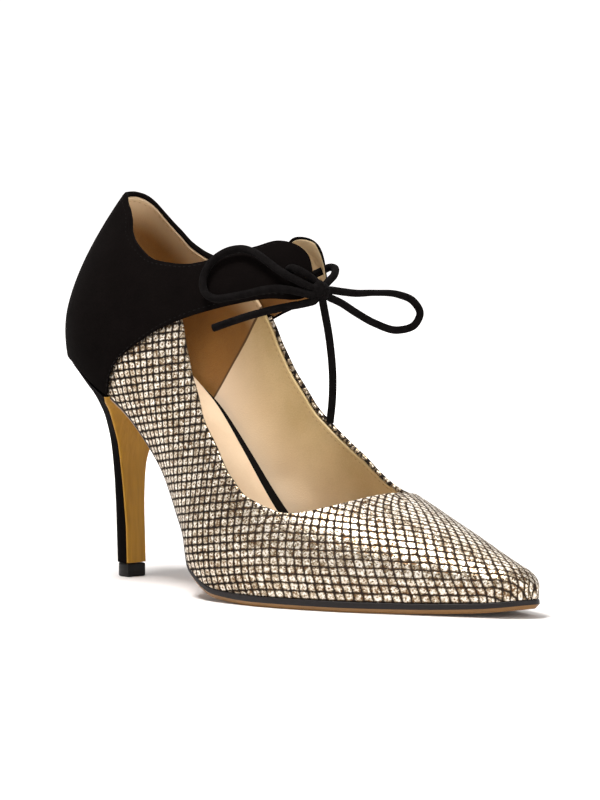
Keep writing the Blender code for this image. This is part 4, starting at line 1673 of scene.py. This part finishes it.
@dataclass
class Outsole(SubAssembly):
    """Leather outsole: inked upright edge, tan bevel and flat tread."""

    back: float = 36.3
    parting: float = 0.25
    roll: float = 0.35
    sections: tuple[tuple[float, ...], ...] = (
        (34.0, -1.4, 2.4, 1.4, 1.2), (62.0, -1.6, 2.4, 1.4, 1.4), (88.0, -1.0, 2.7, 1.5, 1.6),
        (112.0, 0.1, 3.4, 2.0, 1.4), (130.0, 0.5, 3.7, 2.2, 1.4), (160.0, 0.6, 3.7, 2.2, 1.4),
        (210.0, 0.4, 3.5, 2.0, 1.5), (225.0, 0.1, 3.3, 1.8, 1.5),
    )
    ground: float = 0.3
    back_clear: float = 1.0
    roll_points: int = 5
    edge_points: tuple[float, ...] = (0.3, 0.7, 1.0)
    edge_clear: float = 0.12
    bevel_points: int = 7
    bevel_start: float = 0.06
    tread_points: int = 15

    def _profile(self, x: Array, side: Side) -> Array:
        """Points of one side's profile.

        Args:
            x: Places along the last.
            side: Side of the shoe.

        Returns:
            Points as (places, points down the profile, 3): a quarter circle, the upright edge
            and a straight bevel, given as distances out from and down off the feather line.
        """
        outset, thickness, edge, bevel = read_columns(self.sections, x[:, None])
        turn = np.linspace(0, math.pi / 2, self.roll_points)
        upright = np.array(self.edge_points)
        outs = np.concatenate([
            outset - self.roll + self.roll * np.sin(turn),
            outset + 0 * upright,
            outset - bevel * np.linspace(self.bevel_start, 1.0, self.bevel_points),
        ], axis=1)
        top, foot = self.parting + self.roll, self.parting + edge
        drops = np.concatenate([
            top - self.roll * np.cos(turn) + 0 * outset,
            top + (edge - self.roll - self.edge_clear) * upright,
            foot + (thickness + self.ground - foot) * np.linspace(0.0, 1.0, self.bevel_points),
        ], axis=1)
        down = -self.last.feather_normal(x)[:, None]
        return self.last.surface(x[:, None], FEATHER, side, outs) + down * drops[..., None]

    def piece(self) -> Piece:
        """Sole swept along the feather line.

        Returns:
            The sole: both profiles and a flat tread between them, closed at the back. The inked
            edge is marked.
        """
        x = self.last.stations()
        x = np.concatenate([[self.back], x[x > self.back + self.back_clear]])
        outer, inner = (self._profile(x, side) for side in Side)
        blend = np.linspace(0, 1, self.tread_points)[1:-1, None]
        tread = outer[:, -1:] + (inner[:, -1:] - outer[:, -1:]) * blend
        inked = np.ones(self.roll_points + len(self.edge_points))
        bare = np.zeros(2 * self.bevel_points + tread.shape[1])
        skin = Skin()
        ring = np.concatenate([outer, tread, inner[:, ::-1]], axis=1)
        mark = np.concatenate([inked, bare, inked])
        numbers = skin.grid(ring, mark=mark, around=True)
        half = (numbers.shape[1] + 1) // 2
        skin.strip(numbers[0, :half], numbers[0, ::-1][:half])
        return self.dress(skin, "outsole_leather", self.finishes.sole, Slot.SOLE, ("outsole",))


@dataclass
class HeelBlock(SubAssembly):
    """Slim suede-covered heel with a leather breast and a hard top lift."""

    lift: float = 5.0
    proud: float = -0.3
    gap: float = 0.3
    seat_shift: float = 1.6
    d_round: float = 0.86
    d_power: float = 0.9
    cover: float = 1.0
    cover_clear: float = 0.05
    rows: int = 90
    round_columns: int = 26
    flat_columns: int = 6
    breast_columns: int = 25
    bunching: float = 1.4
    cover_edge: float = 0.5
    lift_bevel: float = 0.35
    sections: tuple[tuple[float, float, float, float], ...] = (
        (0.0, -1.5, 35.6, 24.4), (0.04, -0.6, 32.6, 21.2), (0.083, 1.3, 29.8, 17.2),
        (0.178, 7.0, 26.8, 12.4), (0.293, 11.2, 24.8, 8.4), (0.433, 13.6, 23.7, 6.1),
        (0.637, 14.9, 24.1, 4.9), (0.815, 15.4, 24.8, 4.5), (1.0, 16.0, 25.2, 4.5),
    )

    def _rounding(self, share: Array) -> Array:
        """Half width of the D-shaped section, from its back to its breast."""
        turn = np.clip(1 - share / self.d_round, 0, 1)
        return np.sqrt(1 - turn**2) ** self.d_power

    def _height(self, x: Array, drop: Array) -> Array:
        """Height of a heel point: down from the seat to the top lift."""
        seat = self.last.value("z", x + self.seat_shift) - self.gap
        return seat + (self.lift + self.gap - seat) * drop

    def _drops(self) -> Array:
        """Column of drops from the seat, as shares of the heel, crowded at the seat."""
        return np.linspace(0, 1, self.rows)[:, None] ** self.bunching

    def _outline(self) -> Array:
        """Shares of the way from the back of a section to its breast."""
        turned = self.d_round * (1 - np.cos(np.linspace(0, math.pi / 2, self.round_columns)))
        return np.concatenate([turned, np.linspace(self.d_round, 1, self.flat_columns)[1:]])

    def _mirrored(self, x: Array, y: Array, z: Array) -> Skin:
        """Closed form of a side and its mirror image.

        Args:
            x: Places along the last, as (rows, columns from back to breast).
            y: Half widths.
            z: Heights.

        Returns:
            Both sides, joined at the breast and closed at the top and the bottom.
        """
        skin = Skin()
        outer, inner = (skin.grid(np.stack([x, side.value * y, z], axis=-1)) for side in Side)
        for edge in (np.s_[0, :], np.s_[-1, :], np.s_[:, -1]):
            skin.strip(outer[edge], inner[edge])
        return skin

    def block(self) -> Piece:
        """Covered heel.

        Returns:
            The heel: D-shaped sections stacked from the seat down, each as wide as its row says.
        """
        drop = self._drops()
        back, breast, half = read_columns(self.sections, drop)
        share = self._outline()
        x = back + (breast - self.cover - self.cover_clear - back) * share
        seat_x = (back + (breast - back) * share)[:1]
        z = self._height(seat_x, drop) + 0 * x
        skin = self._mirrored(x, half * self._rounding(share), z)
        return self.dress(skin, "heel_cover", self.finishes.suede, Slot.SUEDE, ("heel",))

    def breast_cover(self) -> Piece:
        """Leather on the flat front of the heel.

        Returns:
            The leather: a front and a back as wide as the heel, with rounded side edges.
        """
        drop = self._drops()
        _, breast, half = read_columns(self.sections, drop)
        across = 2 * cosine_spaced(self.breast_columns) - 1
        share = edge_round((1 - np.abs(across)) * half, self.cover_edge)
        y = half * across
        z = self._height(breast[:1], drop) + 0 * y
        front = np.stack([breast - self.cover / 2 * (1 - share), y, z], axis=-1)
        back = np.stack([breast - self.cover / 2 * (1 + share), y, z], axis=-1)
        skin = Skin()
        skin.wall(front, back, closed=("start", "end"))
        return self.dress(skin, "heel_breast_cover", self.finishes.breast, Slot.SOLE, ("heel_breast",))

    def top_lift(self) -> Piece:
        """Hard tip.

        Returns:
            The tip: the heel's lowest section, carried down with bevelled rims.
        """
        back, breast, half = read_columns(self.sections, np.array(1.0))
        share = self._outline()
        bevel = self.lift_bevel
        inset = np.array([bevel, 0.0, 0.0, bevel])[:, None]
        z = np.array([self.lift, self.lift - bevel, bevel, 0.0])[:, None] + 0 * share
        x = back - self.proud + inset + (breast - back + 2 * (self.proud - inset)) * share
        skin = self._mirrored(x, (half + self.proud - inset) * self._rounding(share), z)
        return self.dress(skin, "top_lift_tip", self.finishes.lift, Slot.LIFT, ("top_lift",))


@dataclass
class Stitching(SubAssembly):
    """Rows of lockstitch along the edges of the suede and the lining."""

    pitch: float = 2.3
    length: float = 1.7
    thick: float = 0.36
    sunk: float = 0.05
    dip: float = 0.14
    tip_power: int = 3
    from_edge: float = 1.6
    probe: float = 0.3
    rings: int = 7
    sides: int = 6
    row_points: int = 240
    row_end: float = 12.9
    low_start: float = 6.2
    high_start: float = 0.15
    widest_share: float = 0.4
    seat: float = 0.25
    off_probe: float = 1.0
    under_share: float = 0.02
    lining_probe: float = 2.0

    def _row(self, skin: Skin, line: Array, normal: Array) -> None:
        """Add capsules along a line, each narrowed to its tips by a power and bowed by a parabola.

        Args:
            skin: Piece that takes them.
            line: Points of the line.
            normal: Directions off the surface at those points.
        """
        length = run_along(line)
        places = np.arange(self.pitch / 2, length[-1], self.pitch)
        centre = read_along(line, length, places)
        tangent = unit(read_along(line, length, places + self.probe) - centre)
        off = unit(read_along(normal, length, places))
        side = np.cross(off, tangent)
        share = np.linspace(-1, 1, self.rings)
        girth = np.sqrt(np.maximum(1 - np.abs(share) ** self.tip_power, 0))[:, None]
        turn = np.linspace(0, 2 * math.pi, self.sides, endpoint=False)
        along = (share * self.length / 2)[:, None] + 0 * turn
        wide = girth * np.cos(turn) * self.thick / 2
        high = girth * np.sin(turn) * self.thick / 2 - self.sunk - self.dip * (share**2)[:, None]
        parts = ((tangent, along), (side, wide), (off, high))
        shape = sum(axis[:, None, None] * reach[..., None] for axis, reach in parts)
        skin.grid(centre[:, None, None] + shape, around=True)

    def quarter_rows(self, quarter: Quarter) -> Piece:
        """Stitches along both edges of a quarter and its strap.

        Args:
            quarter: Quarter that they hold.

        Returns:
            The stitches.
        """
        skin = Skin()
        u = np.linspace(self.high_start, self.row_end, self.row_points)
        for edge, start in ((0.0, self.low_start), (1.0, self.high_start)):
            place = u[u > start]
            ends = [quarter.surface(place, np.full_like(place, v), quarter.outer) for v in (0.0, 1.0)]
            width = np.linalg.norm(ends[1] - ends[0], axis=-1)
            v = np.abs(edge - np.minimum(self.from_edge / width, self.widest_share))
            line = quarter.surface(place, v, quarter.outer - self.seat)
            normal = quarter.surface(place, v, quarter.outer + self.off_probe) - line
            self._row(skin, line, normal)
        name = "stitches_" + quarter.side.name.lower()
        return self.dress(skin, name, self.finishes.thread, Slot.SUEDE)

    def lining_row(self, upper: Upper) -> Piece:
        """Stitches just inside the top edge of the lining.

        Args:
            upper: Upper that the lining belongs to.

        Returns:
            The stitches.
        """
        skin = Skin()
        low, high = self.last.columns(upper.rim)
        for side in Side:
            top = self.last.top_angle(high, side, upper.rim)
            keep = high <= self.last.throat_end
            edge = self.last.surface(high, top, side, -upper.wall)
            x, angle = (a + (b - a) * (1 - self.under_share) for a, b in ((low, high), (FEATHER, top)))
            run = np.linalg.norm(edge - self.last.surface(x, angle, side, -upper.wall), axis=-1)
            share = 1 - self.under_share * self.from_edge / np.maximum(run, NARROW)
            x, angle = (a + (b - a) * share for a, b in ((low, high), (FEATHER, top)))
            seam = smoothstep(*upper.seam_lap, x - upper.seam_line(np.degrees(angle)))
            line = self.last.surface(x, angle, side, -upper.wall - upper.seam_step * seam)
            normal = self.last.surface(x, angle, side, -upper.wall - self.lining_probe) - line
            self._row(skin, line[keep], normal[keep])
        return self.dress(skin, "stitches_lining", self.finishes.pale_thread, Slot.SOCK)


@dataclass
class Lace(SubAssembly):
    """Suede cord through both tabs, tied in a bow in front of them."""

    diameter: float = 2.8
    spacing: float = 0.7
    through: float = 2.8
    knot: Point = (128.0, -3.2, 109.6)
    core: Point = (3.1, 3.9, 3.3)
    wrap: Span = (2.5, 2.7)
    core_rings: int = 25
    core_sides: int = 32
    core_lump: float = 0.05
    core_lumps: int = 3
    core_phase: float = 1.0
    stub: float = 1.2
    stub_start: float = 0.3
    wrap_axis: Point = (0.25, 0.95, 0.12)
    wrap_lead: float = 1.2
    wrap_lap: float = 0.3
    wrap_points: int = 60
    loop_outer: Route = (
        (127.2, -7.7, 108.3), (123.6, -11.6, 109.6), (118.8, -15.0, 110.4), (113.8, -17.6, 109.8),
        (108.0, -19.6, 108.4), (101.0, -22.0, 107.0), (94.5, -23.6, 106.4), (89.5, -23.6, 108.4),
        (87.0, -22.4, 112.2), (86.4, -20.4, 116.0), (88.0, -17.8, 120.0), (91.8, -15.6, 122.8),
        (97.6, -13.6, 124.0), (103.6, -13.2, 123.0), (109.6, -13.4, 120.6), (115.0, -13.2, 117.8),
        (120.4, -12.4, 115.2), (124.2, -10.2, 113.0), (126.6, -7.9, 111.3),
    )
    loop_inner: Route = (
        (129.4, 1.1, 109.7), (130.3, 5.8, 109.0), (131.4, 10.9, 108.4), (133.2, 18.2, 108.4),
        (136.2, 27.4, 107.6), (138.0, 32.9, 105.2), (138.9, 35.6, 100.7), (138.3, 33.8, 96.9),
        (136.2, 27.4, 94.9), (133.4, 18.2, 97.6), (131.6, 10.6, 101.6), (130.4, 4.4, 105.2),
        (129.6, 0.2, 107.0),
    )
    end_outer: Route = (
        (126.6, -5.4, 105.8), (123.6, -8.6, 104.8), (119.4, -12.2, 103.8), (115.0, -15.6, 102.6),
        (110.2, -19.2, 101.0), (104.5, -23.2, 98.8), (98.0, -27.6, 96.0),
    )
    end_inner: Route = (
        (128.5, -2.4, 105.4), (128.7, -1.6, 101.5), (129.0, -0.5, 96.0), (129.2, 0.8, 88.0),
        (129.2, 1.7, 79.0), (128.9, 1.7, 70.0), (128.4, 1.1, 62.4),
    )
    tie_outer: Route = (
        (120.9, -10.2, 117.6), (124.3, -7.9, 116.0), (126.2, -4.5, 113.4),
    )
    tie_inner: Route = (
        (121.2, 9.9, 117.2), (124.8, 6.8, 115.2), (127.3, 0.8, 112.3),
    )
    flat_spot: float = 0.24
    flat_spread: float = 0.09
    flat_share: float = 0.22

    def free_cord(self, name: str, route: Route, far_end: str, knot: Piece, flat: bool = False) -> Piece:
        """One free stretch of the bow.

        Args:
            name: Name of the solid that it stands for.
            route: Its points.
            far_end: What is on its far end; not used.
            knot: Knot that it leaves; not used.
            flat: Whether it has a twisted, flatter spot.

        Returns:
            The cord.
        """
        path = smooth_route(np.array(route), self.spacing)
        away = (np.linspace(0, 1, len(path)) - self.flat_spot) / self.flat_spread
        wide = 1 + self.flat_share * np.exp(-(away**2)) * flat
        skin = Skin()
        skin.grid(tube(path, self.diameter / 2, wide=wide), around=True)
        piece = self.dress(skin, name + "_cord", self.finishes.cord, Slot.CORD, (name,))
        return piece

    def tie(self, quarters: dict[Side, Quarter]) -> Piece:
        """Stretch from the knot through one tab, behind both and out through the other.

        Args:
            quarters: Quarters with the tabs.

        Returns:
            The stretch, a round profile along a smooth curve through both holes.
        """
        halves = {}
        for side, ends in ((Side.OUTER, self.tie_outer), (Side.INNER, self.tie_inner)):
            centre, axis = quarters[side].tie_hole()
            tab = [centre + axis * reach for reach in (-self.through, 0.0, self.through)]
            halves[side] = [*tab, *np.array(ends)]
        route = np.array(halves[Side.OUTER][::-1] + halves[Side.INNER])
        skin = Skin()
        skin.grid(tube(smooth_route(route, self.spacing), self.diameter / 2), around=True)
        return self.dress(skin, "lace_tie_cord", self.finishes.cord, Slot.CORD, ("lace_tie",))

    def _ends_at_knot(self) -> list[Route]:
        """Routes of the cord, each read away from the knot."""
        loops, ties = (self.loop_outer, self.loop_inner), (self.tie_outer[::-1], self.tie_inner[::-1])
        return [*loops, *(loop[::-1] for loop in loops), self.end_outer, self.end_inner, *ties]

    def bow_knot(self) -> Piece:
        """Knot of the bow.

        Returns:
            The knot: an ellipsoid with three soft lumps, one turn of the cord around it, and a
            short stub of cord where each stretch enters it.
        """
        skin = Skin()
        knot = np.array(self.knot)
        polar = np.linspace(0, math.pi, self.core_rings)[:, None]
        turn = np.linspace(0, 2 * math.pi, self.core_sides, endpoint=False)
        lump = 1 + self.core_lump * np.cos(self.core_lumps * turn + self.core_phase) * np.sin(polar) ** 2
        across, along = np.sin(polar) * np.cos(turn) * lump, np.sin(polar) * np.sin(turn) * lump
        sphere = np.stack([across, np.cos(polar) + 0 * turn, along], axis=-1)
        skin.grid(knot + sphere * np.array(self.core), around=True)
        axis = unit(np.array(self.wrap_axis))
        flat = unit(np.cross(axis, np.array([0.0, 0.0, 1.0])))
        up = np.cross(flat, axis)
        around = np.linspace(-self.wrap_lap, 2 * math.pi + self.wrap_lap, self.wrap_points)[:, None]
        lead = axis * self.wrap_lead * (around / (2 * math.pi) - 0.5)
        ring = self.wrap[0] * np.cos(around) * flat + self.wrap[1] * np.sin(around) * up
        paths = [knot + ring + lead]
        for route in self._ends_at_knot():
            first, second = np.array(route[:2])
            start = knot + (first - knot) * self.stub_start
            stub = np.array([start, first, first + unit(second - first) * self.stub])
            paths.append(smooth_route(stub, self.spacing))
        for path in paths:
            skin.grid(tube(path, self.diameter / 2), around=True)
        return self.dress(skin, "lace_bow_knot", self.finishes.cord, Slot.CORD, ("lace_knot",))

    def pieces(self, quarters: dict[Side, Quarter]) -> list[Piece]:
        """Make the whole lace.

        Args:
            quarters: Quarters that it ties.

        Returns:
            The stretch through the tabs, the knot and the four free stretches.
        """
        knot = self.bow_knot()
        cords = [
            self.free_cord("lace_loop_outer", self.loop_outer, "knot", knot),
            self.free_cord("lace_loop_inner", self.loop_inner, "knot", knot, flat=True),
            self.free_cord("lace_end_outer", self.end_outer, "bare", knot),
            self.free_cord("lace_end_inner", self.end_inner, "bare", knot),
        ]
        return [self.tie(quarters), knot, *cords]


@dataclass(frozen=True)
class Lamp:
    """Square soft light that faces the shoe: place and side in millimetres, power in watts."""

    name: str
    place: Point
    size: float
    power: float
    colour: Colour

    def hang(self, target: Array) -> None:
        """Hang the light.

        Args:
            target: Point that it faces, from which its place counts.
        """
        data = bpy.data.lights.new(self.name, "AREA")
        data.size = self.size * MM
        data.energy = self.power
        data.color = self.colour
        lamp = bpy.data.objects.new(self.name, data)
        bpy.context.scene.collection.objects.link(lamp)
        lamp.location = Vector(to_part(target + np.array(self.place)))
        lamp.rotation_euler = (-Vector(self.place)).to_track_quat("-Z", "Y").to_euler()


@dataclass(frozen=True)
class Studio:
    """Pale floor, soft light and the camera at the photograph's angle."""

    azimuth: float = 47.0
    elevation: float = 3.7
    distance: float = 1700.0
    target: Point = (114.0, 0.0, 70.0)
    lens: float = 214.0
    view_end: float = 100.0
    floor: float = 12000.0
    floor_low: float = -0.02
    floor_points: int = 9
    floor_cloud: float = 600.0
    floor_shade: float = 0.97
    floor_gloss: float = 0.8
    floor_shine: float = 0.1
    floor_colour: Colour = (0.80, 0.775, 0.765)
    floor_glow: Colour = (1.0, 0.985, 0.98)
    floor_near_glow: Colour = (0.02, 0.0195, 0.0195)
    floor_glow_strength: float = 0.9
    floor_near: Span = (0.22, 0.95)
    backdrop: Colour = (1.3, 1.29, 1.28)
    sky: tuple[tuple[float, Colour], ...] = (
        (0.50, (1.38, 1.36, 1.34)), (0.58, (1.16, 1.14, 1.12)), (0.67, (0.98, 0.96, 0.94)),
        (0.75, (0.13, 0.127, 0.124)), (0.93, (0.23, 0.225, 0.22)),
    )
    sky_strength: float = 0.85
    lamps: tuple[Lamp, ...] = (
        Lamp("key", (-160.0, -420.0, 1440.0), 500.0, 33.0, (1.0, 0.985, 0.97)),
        Lamp("front", (1500.0, -300.0, 700.0), 700.0, 10.0, (1.0, 0.98, 0.96)),
        Lamp("back", (-900.0, 900.0, 1300.0), 1200.0, 12.0, (0.98, 0.99, 1.0)),
    )

    def _direction(self) -> Array:
        """Unit vector from the shoe to the camera."""
        a, e = math.radians(self.azimuth), math.radians(self.elevation)
        return np.array([math.sin(a) * math.cos(e), -math.cos(a) * math.cos(e), math.sin(e)])

    def camera(self) -> None:
        """Aim the camera."""
        data = bpy.data.cameras.new("camera")
        data.lens = self.lens
        data.clip_end = self.view_end
        camera = bpy.data.objects.new("camera", data)
        bpy.context.scene.collection.objects.link(camera)
        back = self._direction()
        camera.location = Vector(to_part(np.array(self.target) + back * self.distance))
        camera.rotation_euler = Vector(-back).to_track_quat("-Z", "Y").to_euler()
        bpy.context.scene.camera = camera

    def ground(self) -> None:
        """Lay the floor."""
        shader = Shader("floor_finish")
        tone = shader.noise(self.floor_cloud)
        pale = tuple(self.floor_shade * k for k in self.floor_colour)
        away = shader.value("Value", "ShaderNodeVectorMath", {"operation": "LENGTH"}, {0: shader.place()})
        far = away.step(*self.floor_near)
        shader.set(
            Base_Color=shader.mix(tone, pale, self.floor_colour),
            Roughness=self.floor_gloss,
            Specular_IOR_Level=self.floor_shine,
            Emission_Color=shader.mix(far, self.floor_near_glow, self.floor_glow),
            Emission_Strength=self.floor_glow_strength,
        )
        skin = Skin()
        side = np.linspace(-self.floor / 2, self.floor / 2, self.floor_points)
        x, y = np.meshgrid(side, side, indexing="ij")
        skin.grid(np.stack([x, y, np.full_like(x, self.floor_low)], axis=-1))
        floor = skin.build("floor", shader.owner)
        if floor.data.polygons[0].normal.z < 0:
            floor.data.flip_normals()

    def world(self) -> None:
        """Surround the shoe with a soft gradient of light, white where the camera looks."""
        sky = Shader("studio", Kind.WORLD)
        place = sky.node("ShaderNodeTexCoord").outputs["Generated"]
        height = (sky.parts(place)[2] + 1.0) * 0.5
        seen = sky.value("Is Camera Ray", "ShaderNodeLightPath")
        colour = sky.mix(seen, sky.ramp(height, list(self.sky)), self.backdrop)
        sky.set(Color=colour, Strength=self.sky_strength)
        bpy.context.scene.world = sky.owner

    def build(self) -> None:
        """Set up floor, light and camera."""
        bpy.context.scene.view_settings.view_transform = "Standard"
        self.ground()
        self.world()
        for lamp in self.lamps:
            lamp.hang(np.array(self.target))
        self.camera()


def main() -> None:
    """Dress the shoe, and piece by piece."""
    logging.basicConfig(level=logging.INFO, format="%(name)s: %(message)s")
    Studio().build()
    last, finishes = Last(), Finishes()
    quarters = {side: Quarter(last, finishes, side=side) for side in Side}
    Lace(last, finishes).pieces(quarters)
    upper = Upper(last, finishes)
    upper.net()
    upper.lining()
    stitching = Stitching(last, finishes)
    for quarter in quarters.values():
        quarter.suede()
        quarter.strap_lining()
        stitching.quarter_rows(quarter)
    stitching.lining_row(upper)
    Footbed(last, finishes).pieces()
    Outsole(last, finishes).piece()
    heel = HeelBlock(last, finishes)
    heel.block()
    heel.breast_cover()
    heel.top_lift()
    LOG.info("%d solids in the frame", len(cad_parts))


if __name__ == "__main__":
    main()
